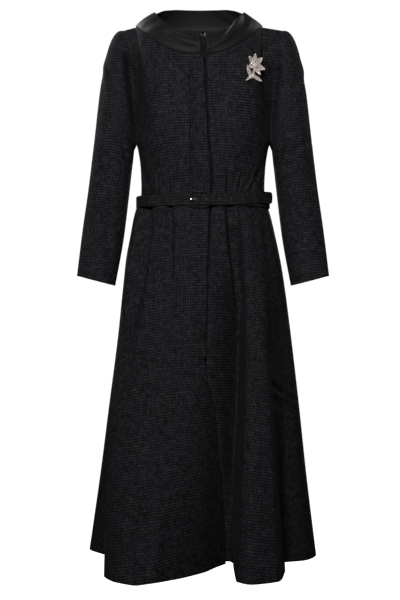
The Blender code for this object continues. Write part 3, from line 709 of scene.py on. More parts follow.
def back_grid():
    fractions = np.linspace(0.0, 1.0, BACK_COLUMNS + 1)
    half = BACK_COLUMNS // 2
    angles = np.linspace(90, 270, BACK_SAMPLES)
    rows = [spread(body_ring(angles, drop), fractions) for drop in trunk_drops()]
    shares = np.linspace(0.0, 1.0, half + 1)
    halves = []
    for side in (1, -1):
        neck = neck_ring(NECK_SEAM, np.linspace(180, 180 - 90 * side, NECK_SAMPLES))
        outer = armhole(chest_turns(), side, True)
        upper = spread(np.vstack([neck, outer[-1:]]), shares)
        lower = rows[-1][half::-1] if side > 0 else rows[-1][half:]
        halves.append(chest_rows(lower, upper, outer)[1:])
    for left, right in zip(*halves):
        rows.append(np.vstack([left[::-1], right[1:]]))
    grid = np.array(rows)
    grid = trim_side(grid, 0, SIDE_TRIM)
    grid = trim_side(grid, -1, SIDE_TRIM)
    return crumple(soften_bust_row(grid, half), (), BACK_WRINKLES)


def share_from(grid, centre):
    """Length along each row from its centre column, and its share of the longest way."""
    length = run(grid, axis=1)
    along = length - length[:, [centre]]
    most = np.abs(along).max(axis=1, keepdims=True)
    return along, along / most


def soften_bust_row(grid, centre):
    """Rounds the slight break in depth where the chest rows meet the trunk."""
    share = np.abs(share_from(grid, centre)[1])
    inside = 1 - ease((share - BUST_INSIDE) / BUST_FADE)
    for column in range(grid.shape[1]):
        drop = -grid[:, column, 2]
        step = np.abs(np.gradient(drop))
        weight = np.exp(-(((drop[:, None] - drop[None, :]) / BUST_BLUR) ** 2)) * step[None, :]
        smooth = weight @ grid[:, column, 1] / weight.sum(axis=1)
        near = np.exp(-(((drop - UNDERARM_DROP) / BUST_REACH) ** 2)) * inside[:, column]
        grid[:, column, 1] += near * (smooth - grid[:, column, 1])
    return grid


def troughs(p, q, table):
    """Depth of soft creases over a surface whose points have the coordinates p and q."""
    total = np.zeros_like(p)
    for w in table:
        length = math.hypot(w.x2 - w.x1, w.drop2 - w.drop1)
        way = ((w.x2 - w.x1) / length, (w.drop2 - w.drop1) / length)
        along = ((p - w.x1) * way[0] + (q - w.drop1) * way[1]) / length
        aside = (q - w.drop1) * way[0] - (p - w.x1) * way[1] - 4 * w.bow * along * (1 - along)
        fade = ease(0.5 + along / (2 * WRINKLE_FADE)) * ease(0.5 + (1 - along) / (2 * WRINKLE_FADE))
        off = np.abs(aside / w.width)
        lip = LIP * np.exp(-(((off - LIP_PLACE) / LIP_WIDTH) ** 2))
        total -= w.depth * fade * (np.exp(-off * off) - lip)
    return total


def hollow_armholes(grid):
    """Sets the cloth back beside the armhole seams at the front, body and sleeve alike."""
    drop = -grid[..., 2]
    seam = curve(ARMHOLE, "x", drop)
    aside = np.abs(grid[..., 0]) - seam
    reach = np.where(aside < 0, HOLLOW_BODY, HOLLOW_SLEEVE)
    below_top = ease((drop - HOLLOW_TOP_DROP) / HOLLOW_TOP_FADE)
    height = below_top * ease((UNDERARM_DROP + HOLLOW_PAST_UNDERARM - drop) / HOLLOW_LOW_FADE)
    forward = ease(-grid[..., 1] / HOLLOW_DEPTH_FADE)
    grid = grid.copy()
    depth = np.where(grid[..., 0] < 0, HOLLOW_RIGHT, HOLLOW_LEFT)
    grid[..., 1] += depth * np.exp(-((aside / reach) ** 2)) * height * forward
    return grid


def crumple(grid, front_table, back_table):
    """Moves a cloth grid in and out along its normals by its listed creases."""
    grid = hollow_armholes(grid)
    out = normals(grid)
    facing = ease(0.5 - out[..., 1] / TURN_BLEND)
    x, drop = grid[..., 0], -grid[..., 2]
    depth = facing * troughs(x, drop, front_table) + (1 - facing) * troughs(x, drop, back_table)
    return grid + out * depth[..., None]


def sleeve_ring(cuff, turn, back):
    inner = np.array([cuff.inner_x, 0.0, -cuff.inner_drop])
    outer = np.array([cuff.outer_x, 0.0, -cuff.outer_drop])
    turn = np.asarray(turn)[:, None]
    depth = np.sin(turn) * cuff.half_depth * (1 if back else -1) + cuff.middle
    return inner * (1 + np.cos(turn)) / 2 + outer * (1 - np.cos(turn)) / 2 + depth * np.array([0, 1, 0])


def sleeve_lines(turn, back):
    """Rows of half a sleeve from the cuff to the armhole."""
    drops = np.linspace(SLEEVE[-1].inner_drop, SLEEVE[0].inner_drop, SLEEVE_ROWS + 1)
    rows = []
    for drop in drops:
        values = (float(curve(SLEEVE, name, drop, by="inner_drop")) for name in Cuff._fields)
        rows.append(sleeve_ring(Cuff(*values), turn, back))
    seam = armhole(turn, 1, back) + np.array([ARMHOLE_GAP, 0.0, 0.0])
    low = rows[-1]
    share = np.sin(np.asarray(turn)[:, None] / 2) ** 2
    away = unit(np.array(CAP_OUT) * share + np.array(CAP_DOWN) * (1 - share))
    down = np.array(CAP_DOWN.normalized())
    reach = np.linalg.norm(seam - low, axis=1, keepdims=True)
    for t in np.linspace(1.0, 0.0, CAP_ROWS + 1)[1:]:
        point = seam * (1 + 2 * t) * (1 - t) ** 2 + low * t * t * (3 - 2 * t)
        point += away * reach * CAP_FULLNESS * t * (1 - t) ** 2
        point += down * reach * t * t * (t - 1)
        rows.append(point)
    inward = seam.mean(axis=0) * np.array([0.0, 0.0, 1.0]) - seam * np.array([0.0, 1.0, 1.0])
    rows.append(seam + unit(inward) * FLANGE_DEPTH - np.array([FLANGE_WIDTH, 0.0, 0.0]))
    return np.array(rows)


def mirrored(table):
    return tuple(w._replace(x1=-w.x1, x2=-w.x2, bow=-w.bow) for w in table)


def sleeve_grid(side):
    """A sleeve as a closed tube; the first column is repeated at the end."""
    turns = np.linspace(0.0, math.pi, SLEEVE_TURNS + 1)
    front = sleeve_lines(turns, False)
    back = sleeve_lines(turns[::-1], True)
    grid = np.concatenate([front, back[:, 1:]], axis=1)
    if side > 0:
        made = crumple(grid, LEFT_SLEEVE_WRINKLES, SLEEVE_BACK_WRINKLES)
    else:
        grid = grid[:, ::-1] * np.array([-1.0, 1.0, 1.0])
        made = crumple(grid, RIGHT_SLEEVE_WRINKLES, mirrored(SLEEVE_BACK_WRINKLES))
    made[:, -1] = made[:, 0]
    return made


def panel_grain(grid, centre):
    """Cloth coordinates of a body panel: across from its centre, and down its weft lines."""
    across, share = share_from(grid, centre)
    drop = -grid[..., 2]
    fall = curve(FLARE_DROOP, "fall", drop)
    return np.stack([across, drop - fall * share * share], axis=-1)


def tube_grain(grid, centre):
    """Cloth coordinates of a sleeve: round from one column, and along its straight run."""
    across = share_from(grid, centre)[0]
    cuff = grid[0].mean(axis=0)
    axis = unit(cuff - grid[SLEEVE_ROWS].mean(axis=0))
    return np.stack([across, (grid - cuff) @ axis], axis=-1)


def pair(across, along):
    """Cloth coordinates of a grid from one of its axes each."""
    return np.stack(np.broadcast_arrays(across, along), axis=-1)


def add_object(name, data):
    obj = bpy.data.objects.new(name, data)
    bpy.context.scene.collection.objects.link(obj)
    return obj


def piece(name, points, faces, corner_grain, material):
    """A smooth mesh piece with its cloth coordinates, riding on the coat."""
    mesh = bpy.data.meshes.new(name)
    mesh.from_pydata(np.asarray(points).tolist(), [], faces)
    mesh.polygons.foreach_set("use_smooth", [True] * len(mesh.polygons))
    if corner_grain is not None:
        layer = mesh.uv_layers.new(name=GRAIN)
        layer.uv.foreach_set("vector", np.asarray(corner_grain, np.float32).ravel())
    mesh.materials.append(material)
    mesh.update()
    obj = add_object(name, mesh)
    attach(obj, BODY)
    return obj


def rim_of(index):
    """Indices round a grid's edge and back to the first."""
    return np.concatenate([index[0], index[1:, -1], index[-1, -2::-1], index[-2::-1, 0]])


def quads(index):
    corners = [index[:-1, :-1], index[:-1, 1:], index[1:, 1:], index[1:, :-1]]
    return np.stack(corners, axis=-1).reshape(-1, 4)


def shell(name, outer, inner, grain, material, wrap=False):
    """A closed cloth wall between two grids, round its rim too.

    With wrap, the last column is the first one again.
    """
    rows, columns = outer.shape[:2]
    real = columns - 1 if wrap else columns
    index = np.arange(rows)[:, None] * real + np.arange(columns)[None, :] % real
    spot = np.arange(rows * columns).reshape(rows, columns)
    count = rows * real
    if wrap:
        loops = [(index[0], spot[0]), (index[-1, ::-1], spot[-1, ::-1])]
    else:
        loops = [(rim_of(index), rim_of(spot))]
    faces = [quads(index), quads(index)[:, ::-1] + count]
    spots = [quads(spot), quads(spot)[:, ::-1]]
    for rim, rim_spot in loops:
        near, ahead = rim[:-1], rim[1:]
        faces.append(np.stack([ahead, near, near + count, ahead + count], axis=-1))
        spots.append(np.stack([rim_spot[1:], rim_spot[:-1], rim_spot[:-1], rim_spot[1:]], axis=-1))
    faces = np.concatenate(faces)
    corner_grain = grain.reshape(-1, 2)[np.concatenate(spots).ravel()]
    points = np.concatenate([outer[:, :real].reshape(-1, 3), inner[:, :real].reshape(-1, 3)])
    return piece(name, points, faces.tolist(), corner_grain, material)


def tube(name, grid, grain, material, closed=False):
    """A closed mesh from rings: a ring is a column, and its first row is repeated last.

    With closed, the last column is the first one again; otherwise the ends are capped. A
    grain of None is for looks that don't use cloth coordinates.
    """
    if grain is None:
        grain = np.zeros(grid.shape[:2] + (2,))
    rows, columns = grid.shape[:2]
    real_rows = rows - 1
    real_columns = columns - 1 if closed else columns
    down = np.arange(rows) % real_rows
    index = down[:, None] * real_columns + np.arange(columns)[None, :] % real_columns
    faces = quads(index).tolist()
    spot = np.arange(rows * columns).reshape(rows, columns)
    corner_spots = [quads(spot).ravel()]
    if not closed:
        faces.append(index[:-1, 0].tolist())
        faces.append(index[-2::-1, -1].tolist())
        corner_spots += [spot[:-1, 0], spot[-2::-1, -1]]
    points = grid[:real_rows, :real_columns].reshape(-1, 3)
    corner_grain = grain.reshape(-1, 2)[np.concatenate(corner_spots)]
    return piece(name, points, faces, corner_grain, material)


# Materials


class Shade:
    """A material whose nodes are added by short calls."""

    def __init__(self, name, colour, roughness):
        self.material = bpy.data.materials.new(name)
        self.material.use_nodes = True
        self.tree = self.material.node_tree
        self.shader = self.tree.nodes["Principled BSDF"]
        self.set("Base Color", (*colour, 1.0))
        self.set("Roughness", roughness)

    def set(self, socket, value):
        self.shader.inputs[socket].default_value = value

    def link(self, output, socket):
        self.tree.links.new(output, self.shader.inputs[socket])

    def node(self, kind, inputs, **settings):
        made = self.tree.nodes.new("ShaderNode" + kind)
        for name, value in settings.items():
            setattr(made, name, value)
        for key, value in inputs.items():
            if isinstance(value, bpy.types.NodeSocket):
                self.tree.links.new(value, made.inputs[key])
            else:
                made.inputs[key].default_value = value
        return made

    def maths(self, operation, a, b=0.0, c=0.0):
        return self.node("Math", {0: a, 1: b, 2: c}, operation=operation).outputs[0]

    def times(self, a, b):
        return self.maths("MULTIPLY", a, b)

    def times_add(self, a, b, c):
        """a times b, and c added."""
        return self.maths("MULTIPLY_ADD", a, b, c)

    def vectors(self, operation, a, b, c=(0.0, 0.0, 0.0)):
        return self.node("VectorMath", {0: a, 1: b, 2: c}, operation=operation).outputs[0]

    def vector(self, x, y):
        return self.node("CombineXYZ", {0: x, 1: y}).outputs[0]

    def rib(self, count):
        """Round ribs, one to each whole count."""
        wave = self.maths("SINE", self.times(count, math.pi))
        return self.maths("POWER", self.maths("ABSOLUTE", wave), 0.6)

    def noise(self, place, scale, detail=2.0, output="Fac"):
        return self.node("TexNoise", {"Vector": place, "Scale": scale, "Detail": detail}).outputs[output]

    def ramp(self, value, stops):
        made = self.node("ValToRGB", {0: value})
        elements = made.color_ramp.elements
        for k, (place, colour) in enumerate(stops):
            stop = elements[k] if k < 2 else elements.new(place)
            stop.position = place
            stop.color = (*colour, 1.0)
        return made.outputs[0]

    def bump(self, height, distance, strength=1.0):
        made = self.node("Bump", {"Height": height, "Distance": distance, "Strength": strength})
        self.link(made.outputs[0], "Normal")

    def grain(self):
        return self.node("UVMap", {}, uv_map=GRAIN).outputs[0]

    def object_place(self):
        return self.node("TexCoord", {}).outputs["Object"]


def boucle(name, dark, middle, light):
    """Looped weave: nubbly cells of crossing yarns, uneven slubs and paler flecks."""
    s = Shade(name, middle, 0.82)
    place = s.grain()
    wander = s.noise(place, WANDER_SCALE, 1.0, "Color")
    moved = s.vectors("ADD", wander, (-0.5, -0.5, -0.5))
    moved = s.vectors("MULTIPLY_ADD", moved, (YARN_WANDER,) * 3, place)
    parts = s.node("SeparateXYZ", {0: moved}).outputs
    row = s.maths("DIVIDE", parts[1], WEFT)
    pick = s.maths("FLOOR", row)
    brick = s.node("MapRange", {0: s.noise(place, BRICK_PATCH, 1.0), 1: 0.44, 2: 0.56}).outputs[0]
    shift = s.times(s.maths("FRACT", s.times(pick, 0.5)), brick)
    column = s.maths("ADD", s.maths("DIVIDE", parts[0], WARP), shift)
    end = s.maths("FLOOR", column)
    across = s.rib(row)
    down = s.rib(column)
    lead = s.node("MapRange", {0: s.noise(place, LEAD_PATCH, 1.0), 1: 0.38, 2: 0.62}).outputs[0]
    lines = s.node("Mix", {0: lead, 2: across, 3: down}).outputs[0]
    knots = s.times(s.times(across, down), 0.55)
    loops = s.times_add(lines, 0.55, knots)
    cell = s.node("TexWhiteNoise", {"Vector": s.vector(pick, end)}, noise_dimensions="2D").outputs[0]
    along = [s.times(part, SLUB_SCALE) for part in parts[:2]]
    yarn = [s.times(number, SLUB_STEP) for number in (pick, end)]
    weft = s.noise(s.vector(along[0], yarn[0]), 1.0)
    warp = s.noise(s.vector(yarn[1], along[1]), 1.0)
    fleck = s.noise(place, FLECK_SCALE, 3.0)
    yarns = s.times_add(weft, 0.26, s.times(warp, 0.26))
    lumps = s.times_add(cell, 0.12, s.times(loops, 0.34))
    tone = s.maths("ADD", s.maths("ADD", yarns, lumps), s.times_add(fleck, 0.30, -0.16))
    s.link(s.ramp(tone, ((0.20, dark), (0.80, light), (0.50, middle))), "Base Color")
    s.link(s.times_add(fleck, -0.25, 0.92), "Roughness")
    s.bump(s.times_add(fleck, 0.5, lumps), 0.0010, 0.5)
    s.set("Sheen Weight", 0.01)
    s.set("Sheen Roughness", 0.45)
    s.set("Sheen Tint", (0.80, 0.78, 0.86, 1.0))
    s.set("Specular IOR Level", 0.05)
    return s.material


def satin(name, colour):
    """Smooth lustrous cloth with a fine thread line across it."""
    s = Shade(name, colour, 0.36)
    place = s.grain()
    stretched = s.vectors("MULTIPLY", place, (220.0, 1500.0, 1.0))
    thread = s.noise(stretched, 1.0, 2.0)
    cloud = s.noise(place, 22.0, 3.0)
    fine = s.times_add(thread, 0.08, 0.46)
    s.link(s.maths("ADD", s.times(cloud, 0.10), fine), "Roughness")
    lighter = tuple(1.5 * c for c in colour)
    s.link(s.ramp(thread, ((0.30, colour), (0.80, lighter))), "Base Color")
    s.bump(thread, 0.00012, 0.5)
    s.set("Anisotropic", 0.35)
    s.set("Specular IOR Level", 0.09)
    s.set("Sheen Weight", 0.04)
    s.set("Sheen Roughness", 0.30)
    return s.material


def thread_black(name, colour):
    """Dull twisted thread."""
    s = Shade(name, colour, 0.55)
    twist = s.noise(s.object_place(), 1800.0, 2.0)
    s.link(s.ramp(twist, ((0.30, tuple(0.6 * c for c in colour)), (0.75, colour))), "Base Color")
    s.bump(twist, 0.0002, 0.6)
    return s.material


def metal(name, colour, low, high, metallic=1.0):
    """Polished metal whose shine varies with fine rubbing."""
    s = Shade(name, colour, low)
    rub = s.noise(s.object_place(), 700.0, 3.0)
    s.link(s.times_add(rub, high - low, low), "Roughness")
    s.link(s.ramp(rub, ((0.25, tuple(0.86 * c for c in colour)), (0.75, colour))), "Base Color")
    s.set("Metallic", metallic)
    return s.material


def crystal(name):
    """Small foiled stones, bright with a faint warm and cool play."""
    s = Shade(name, (0.9, 0.88, 0.88), 0.08)
    play = s.noise(s.object_place(), 420.0, 1.0)
    s.link(s.ramp(play, ((0.35, (0.95, 0.84, 0.78)), (0.65, (0.86, 0.90, 0.96)))), "Base Color")
    s.set("Metallic", 0.10)
    s.set("Specular IOR Level", 1.0)
    s.set("Coat Weight", 0.8)
    s.set("Coat Roughness", 0.03)
    return s.material


# Dark, middle and light yarn of each weave
CLOTH_YARNS = ((0.0018, 0.0018, 0.0022), (0.0088, 0.0085, 0.0099), (0.039, 0.0374, 0.0434))
BELT_YARNS = ((0.0020, 0.0020, 0.0023), (0.0088, 0.0086, 0.0098), (0.034, 0.033, 0.036))
CLOTH_SHADE = boucle("boucle", *CLOTH_YARNS)
BELT_SHADE = boucle("belt_boucle", *BELT_YARNS)
SATIN_SHADE = satin("satin_black", (0.0108, 0.0102, 0.0115))
THREAD_SHADE = thread_black("thread_black", (0.020, 0.019, 0.022))
# Near-black thread colour used as painted shade inside the belt's holes
PAINTED_HOLE_SHADE = thread_black("hole_painted_shade", (0.0014, 0.0014, 0.0016))
STEEL_SHADE = metal("prong_steel", (0.80, 0.79, 0.78), 0.12, 0.30)
GOLD_SHADE = metal("brooch_rose_gold", (0.86, 0.70, 0.61), 0.22, 0.40, 0.45)
STONE_SHADE = crystal("brooch_crystal")


# Cloth pieces


def panel(name, grid, centre):
    grain = panel_grain(grid, centre)
    inner = grid - normals(grid) * CLOTH
    obj = shell(name + "_cloth", grid, inner, grain, CLOTH_SHADE)
    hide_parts(name)
    return obj


def sleeve(name, side):
    grid = sleeve_grid(side)
    centre = grid.shape[1] // 2
    around = np.concatenate([grid[:, -2:-1], grid, grid[:, 1:2]], axis=1)
    inner = grid - normals(around)[:, 1:-1] * CLOTH
    grain = tube_grain(grid, centre)
    obj = shell(name + "_cloth", grid, inner, grain, CLOTH_SHADE, wrap=True)
    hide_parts(name)
    return obj


def collar_middle():
    """The band's middle surface, with its dents and creases."""
    angles = np.linspace(COLLAR_START, COLLAR_END, COLLAR_COLUMNS + 1)
    low = neck_ring(NECK_SEAM, angles)
    high = neck_ring(COLLAR_RIM, angles)
    sine, cosine = np.sin(np.radians(angles)), np.cos(np.radians(angles))
    high[:, 2] -= RIM_DIP * np.abs(sine) ** RIM_DIP_POWER
    out = np.stack([sine, -cosine, 0 * angles], axis=-1)
    bow = COLLAR_BOW * (0.5 + 0.5 * cosine)[:, None]
    rows = []
    for share in np.linspace(0.0, 1.0, COLLAR_ROWS + 1):
        rows.append(low * (1 - share) + high * share + out * bow * 4 * share * (1 - share))
    grid = np.array(rows)
    grid = grid + normals(grid) * (SATIN / 2 - COLLAR_SEAT)
    around = share_from(grid, 0)[0].mean(axis=0)
    around = np.where(around > around[-1] / 2, around - around[-1], around)
    around = np.repeat(around[None, :], len(grid), axis=0)
    keep = ease(np.linspace(0.0, 1.0, len(grid)) / COLLAR_KEEP)[:, None]
    return grid + normals(grid) * (keep * troughs(around, run(grid), COLLAR_WRINKLES))[..., None]


def build_collar():
    """A folded satin band: outer face, rolled rim and inner face in one loop."""
    middle = collar_middle()
    out = normals(middle)
    up = unit(middle[-1] - middle[-2])
    rolled = []
    for turn in np.linspace(0.0, math.pi, RIM_STEPS + 2)[1:-1]:
        rolled.append(middle[-1] + SATIN / 2 * (out[-1] * math.cos(turn) + up * math.sin(turn)))
    outer = middle + out * SATIN / 2
    inward = -out[0] * np.array([1.0, 1.0, 0.0])
    low = np.linspace(1.0, 0.0, len(middle))[:, None, None] ** 2
    inner = middle - out * SATIN / 2 + inward * low * FACING_INSET
    facing = [inner[0] - UP * FACING * s for s in FACING_ROWS]
    back_up = [f - inward * FACING_WALL for f in facing[::-1]]
    loop = np.concatenate([outer, rolled, inner[::-1], facing, back_up, outer[:1]])
    across = share_from(middle, 0)[0].mean(axis=0)
    along = run(loop).mean(axis=1)
    grain = pair(across[None, :], along[:, None])
    obj = tube("collar_satin", loop, grain, SATIN_SHADE)
    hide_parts("collar")
    return obj


def build_placket(right):
    """A strip on the right front's own points, thinner towards its sewn edges."""
    out = normals(right)
    base = right + out * PLACKET_OFF
    rows = []
    ways = []
    for line, way in zip(base[:, ::-1], out[:, ::-1]):
        if line[0, 2] < -PLACKET_END_DROP:
            continue
        reach = np.linspace(PLACKET_WIDTH, PLACKET_INSET, PLACKET_COLUMNS + 1)
        rows.append(spread(line, reach / run(line)[-1]))
        ways.append(np.repeat(way[:1], PLACKET_COLUMNS + 1, axis=0))
    inner = np.array(trim_top(rows, PLACKET_TRIM))
    share = np.linspace(-1.0, 1.0, PLACKET_COLUMNS + 1)
    full = PLACKET_EDGE + (1 - PLACKET_EDGE) * (1 - np.abs(share) ** PLACKET_ROUND)
    outer = inner + np.array(ways) * (full * STRIP + SEAM)[None, :, None]
    grain = np.stack([share_from(outer, -1)[0], -outer[..., 2]], axis=-1)
    obj = shell("placket_cloth", outer, inner, grain, CLOTH_SHADE)
    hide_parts("placket")
    return obj


# Belt and buckle


class BeltLine:
    """The waist line the belt follows, by length to the right of centre front."""

    def __init__(self):
        self.ring = body_ring(np.linspace(0.0, 360.0, WAIST_SAMPLES), BELT_PATH_DROP)
        self.length = run(self.ring)
        self.round = self.length[-1]

    def at(self, along, drop, lift):
        """Points at lengths round the waist, heights and distances off the cloth."""
        along = np.asarray(along, float)
        point = self.place(along) + self.out(along) * np.asarray(lift, float)[..., None]
        point[..., 2] = -np.asarray(drop, float)
        return point

    def out(self, along):
        ahead = self.place(along + WAIST_STEP) - self.place(along - WAIST_STEP)
        return unit(np.stack([ahead[..., 1], -ahead[..., 0], 0 * ahead[..., 0]], axis=-1))

    def place(self, along):
        return places(np.mod(along, self.round), self.length, self.ring)


def belt_lift(line, along):
    """Distance of the strap's inner face from the cloth along its run."""
    heel = BUCKLE_X + BUCKLE_WIDTH / 2 - BUCKLE_BAR / 2
    near = BUCKLE_X - BUCKLE_WIDTH / 2 + BUCKLE_BAR / 2
    over = BELT_LIFT + BELT_WALL + BUCKLE_WALL + 2 * SEAM
    lapped = BELT_LIFT + BELT_WALL + SEAM
    lap = line.round
    stations = [heel, lap + near + NEAR_BAR_CLEAR, lap + heel - FAR_BAR_CLIMB, lap + heel + FAR_BAR_CLEAR]
    stations += [lap + heel + LAP_SETTLE, lap + TIP_CURL_START, lap + TONGUE_TIP]
    lifts = [BELT_LIFT, BELT_LIFT, over, over, lapped, lapped, lapped + TIP_CURL]
    return monotone(stations, lifts, along)


def belt_drop(line, along):
    past = along - line.round - TONGUE_RISE_START
    return BELT_DROP - ease(past / (TONGUE_TIP - TONGUE_RISE_START)) * TONGUE_RISE


def strap_profile():
    """Round-edged strap section: across from -1 to 1, and out from -1 to 1."""
    turn = np.linspace(0.0, 2 * math.pi, PROFILE * 4 + 1)
    across = np.sign(np.cos(turn)) * np.abs(np.cos(turn)) ** STRAP_FLAT
    out = np.sign(np.sin(turn)) * np.abs(np.sin(turn)) ** STRAP_EDGE
    aside = (np.abs(across) - BELT_GROOVE_PLACE) / BELT_GROOVE_WIDTH
    groove = np.exp(-(aside**2)) * (out > 0)
    return across, out - groove * BELT_GROOVE / (BELT_WALL / 2)


def belt_stations(line):
    heel = BUCKLE_X + BUCKLE_WIDTH / 2 + SEAM
    tip = line.round + TONGUE_TIP
    lapped = np.linspace(line.round - LAP_START, tip - TIP_ROUND, LAP_COLUMNS)
    end = tip - TIP_ROUND * (1 - np.sin(np.linspace(0, math.pi / 2, TIP_COLUMNS)[1:]))
    return np.concatenate([np.linspace(heel, lapped[0], BELT_COLUMNS)[:-1], lapped, end])


def build_belt(line):
    along = belt_stations(line)
    tip = line.round + TONGUE_TIP
    inside = np.clip((along - tip + TIP_ROUND) / TIP_ROUND, 0.0, 1.0)
    half = BELT_WIDTH / 2 - TIP_ROUND * (1 - np.sqrt(1 - TIP_BLUNT * inside**2))
    across, out = strap_profile()
    rows = []
    for c, o in zip(across, out):
        lift = belt_lift(line, along) + BELT_WALL * (0.5 + 0.5 * o)
        rows.append(line.at(along, belt_drop(line, along) - c * half, lift))
    grid = np.array(rows)[::-1]
    grain = pair(along[None, :], across[::-1, None] * BELT_WIDTH / 2)
    belt = tube("belt_strap", grid, grain, BELT_SHADE)
    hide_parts("belt")
    return belt


def octahedra(centres, along, across, out, size):
    """Small spindle shapes: points and faces of one for each centre."""
    length, width, height = size
    ends = [along * length, -along * length, across * width, -across * width, out * height, -out * height]
    points = np.stack([centres + e / 2 for e in ends], axis=1).reshape(-1, 3)
    corners = [(0, 2, 4), (2, 1, 4), (1, 3, 4), (3, 0, 4), (2, 0, 5), (1, 2, 5), (3, 1, 5), (0, 3, 5)]
    faces = (np.arange(len(centres))[:, None, None] * 6 + np.array(corners)[None]).reshape(-1, 3)
    return points, faces.tolist()


def build_belt_stitches(line):
    stations = belt_stations(line)
    along = np.arange(stations[0] + STITCH_START, stations[-1] - TIP_ROUND, STITCH + STITCH_GAP)
    lift = belt_lift(line, along) + BELT_WALL - BELT_GROOVE * STITCH_SINK
    centres, ways, outs, sides = [], [], [], []
    for edge in (-1, 1):
        place = belt_drop(line, along) - edge * BELT_GROOVE_PLACE * BELT_WIDTH / 2
        here = line.at(along, place, lift)
        centres.append(here)
        ways.append(unit(line.at(along + STITCH_STEP, place, lift) - here))
        outs.append(line.out(along))
        sides.append(np.tile(UP, (len(along), 1)))
    arrays = [np.concatenate(a) for a in (centres, ways, sides, outs)]
    points, faces = octahedra(*arrays, (STITCH, STITCH_WIDTH, STITCH_WIDTH))
    return piece("belt_stitches", points, faces, None, THREAD_SHADE)


def ring_tube(centre, right, up, out, radius, thickness, around=20, section_points=8):
    """Grid of a small torus in the plane of right and up."""
    turns = np.linspace(0, 2 * math.pi, around + 1)
    sections = np.linspace(0, 2 * math.pi, section_points + 1)
    rows = []
    for s in sections:
        reach = radius + thickness * math.cos(s)
        rise = out * thickness * math.sin(s)
        rows.append([centre + (right * math.cos(t) + up * math.sin(t)) * reach + rise for t in turns])
    return np.array(rows)


def build_eyelets(line):
    """Overcast rims of the belt's holes, each with a very dark ring sunk in it as painted shade inside
    the hole.
    """
    rims = []
    for number, along in enumerate(HOLES):
        place = np.array([line.round + along])
        lift = belt_lift(line, place) + BELT_WALL + RIM_LIFT
        here = line.at(place, belt_drop(line, place), lift)[0]
        out = line.out(place)[0]
        right = np.cross(UP, out)
        grid = ring_tube(here, right, UP, out, HOLE_RADIUS, RIM_THICK)
        rims.append(tube(f"eyelet_{number}", grid, None, THREAD_SHADE, closed=True))
        # A very dark ring sunk in the hole stands in for the shade inside it: painted shade
        size = HOLE_RADIUS * SHADE_RING_SHARE
        painted_shade_ring = ring_tube(here - out * HOLE_SINK, right, UP, out, size, size)
        rims.append(tube(f"eyelet_painted_shade_{number}", painted_shade_ring, None, PAINTED_HOLE_SHADE, closed=True))
    return rims


def rounded_rectangle(width, height, corner, per_corner):
    points = []
    for k, (sx, sz) in enumerate(((1, 1), (-1, 1), (-1, -1), (1, -1))):
        for step in np.linspace(0, math.pi / 2, per_corner + 1):
            turn = step + k * math.pi / 2
            x = sx * (width / 2 - corner) + corner * math.cos(turn)
            z = sz * (height / 2 - corner) + corner * math.sin(turn)
            points.append((x, z))
    points.append(points[0])
    return np.array(points)


def build_buckle(line):
    """The cloth-covered frame: a round bar bent to a rounded ring on the waist."""
    loop = rounded_rectangle(
        BUCKLE_WIDTH - BUCKLE_BAR, BUCKLE_HEIGHT - BUCKLE_BAR, BUCKLE_CORNER - BUCKLE_BAR / 2, 8
    )
    ahead = np.gradient(loop, axis=0)
    ahead[0] = ahead[-1] = loop[1] - loop[-2]
    ahead = unit(ahead)
    side = np.stack([ahead[:, 1], -ahead[:, 0]], axis=1)
    base = BELT_LIFT + BELT_WALL + SEAM
    turns = np.linspace(0, 2 * math.pi, 17)
    rows = []
    for t in turns:
        place = loop + side * BUCKLE_BAR / 2 * math.cos(t)
        lift = np.full(len(loop), base + BUCKLE_WALL * (0.5 + 0.5 * math.sin(t)))
        rows.append(line.at(BUCKLE_X + place[:, 0], BELT_DROP - place[:, 1], lift))
    grid = np.array(rows)
    grain = pair(run(loop)[None, :], (turns * BUCKLE_BAR / 2)[:, None])
    buckle = tube("buckle_cover", grid, grain, BELT_SHADE, closed=True)
    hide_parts("buckle")


def round_bar(name, points, radii, material, sides=12):
    """A bar of varying radius along a smooth line of points, with capped ends."""
    points = np.asarray(points, float)
    ahead = unit(np.gradient(points, axis=0))
    up = unit(UP - ahead * ahead[:, 2:3])
    side = np.cross(ahead, up)
    rows = []
    for turn in np.linspace(0, 2 * math.pi, sides + 1):
        rows.append(points + (up * math.cos(turn) + side * math.sin(turn)) * np.asarray(radii)[:, None])
    return tube(name, np.array(rows), None, material)


def build_prong(line):
    """The prong's rounded end, out of its hole and over the near bar."""
    near = BUCKLE_X - BUCKLE_WIDTH / 2
    top = BELT_LIFT + BELT_WALL + BUCKLE_WALL + 2 * SEAM + PRONG_RADIUS
    stations = [near - PRONG_OVERHANG, near + BUCKLE_BAR * PRONG_REST, near + BUCKLE_BAR + PRONG_LEAVE]
    stations.append(HOLES[0] - PRONG_SHORT)
    along = np.linspace(stations[0], stations[-1], PRONG_STEPS)
    lift = monotone(stations, top - np.array(PRONG_SINKS), along)
    share = np.linspace(0.0, 1.0, PRONG_STEPS)
    round_end = 1 - (1 - np.clip(share / PRONG_TIP, 0, 1)) ** 2
    radii = PRONG_RADIUS * np.sqrt(np.clip(round_end, 0.02, 1))
    radii = radii * (1 - PRONG_TAPER * ease((share - 0.4) / 0.3))
    points = line.at(along, np.full(PRONG_STEPS, BELT_DROP), lift)
    prong = round_bar("prong_pin", points, radii, STEEL_SHADE)
    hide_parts("prong")


def build_hook():
    """The wire end of the hook that closes the collar at its opening."""
    middle = collar_middle()
    out = normals(middle)[HOOK_ROW, HOOK_COLUMN]
    here = middle[HOOK_ROW, HOOK_COLUMN]
    ahead = unit(middle[HOOK_ROW, HOOK_COLUMN + 2] - here)
    share = np.linspace(0.0, 1.0, HOOK_STEPS)[:, None]
    rise = SATIN / 2 + HOOK_WIRE * (HOOK_SEAT + HOOK_ARCH * np.sin(math.pi * share))
    points = here + ahead * (share - HOOK_SET) * HOOK_LENGTH + out * rise
    radii = np.full(HOOK_STEPS, HOOK_WIRE)
    return round_bar("collar_hook", points, radii, STEEL_SHADE, sides=8)


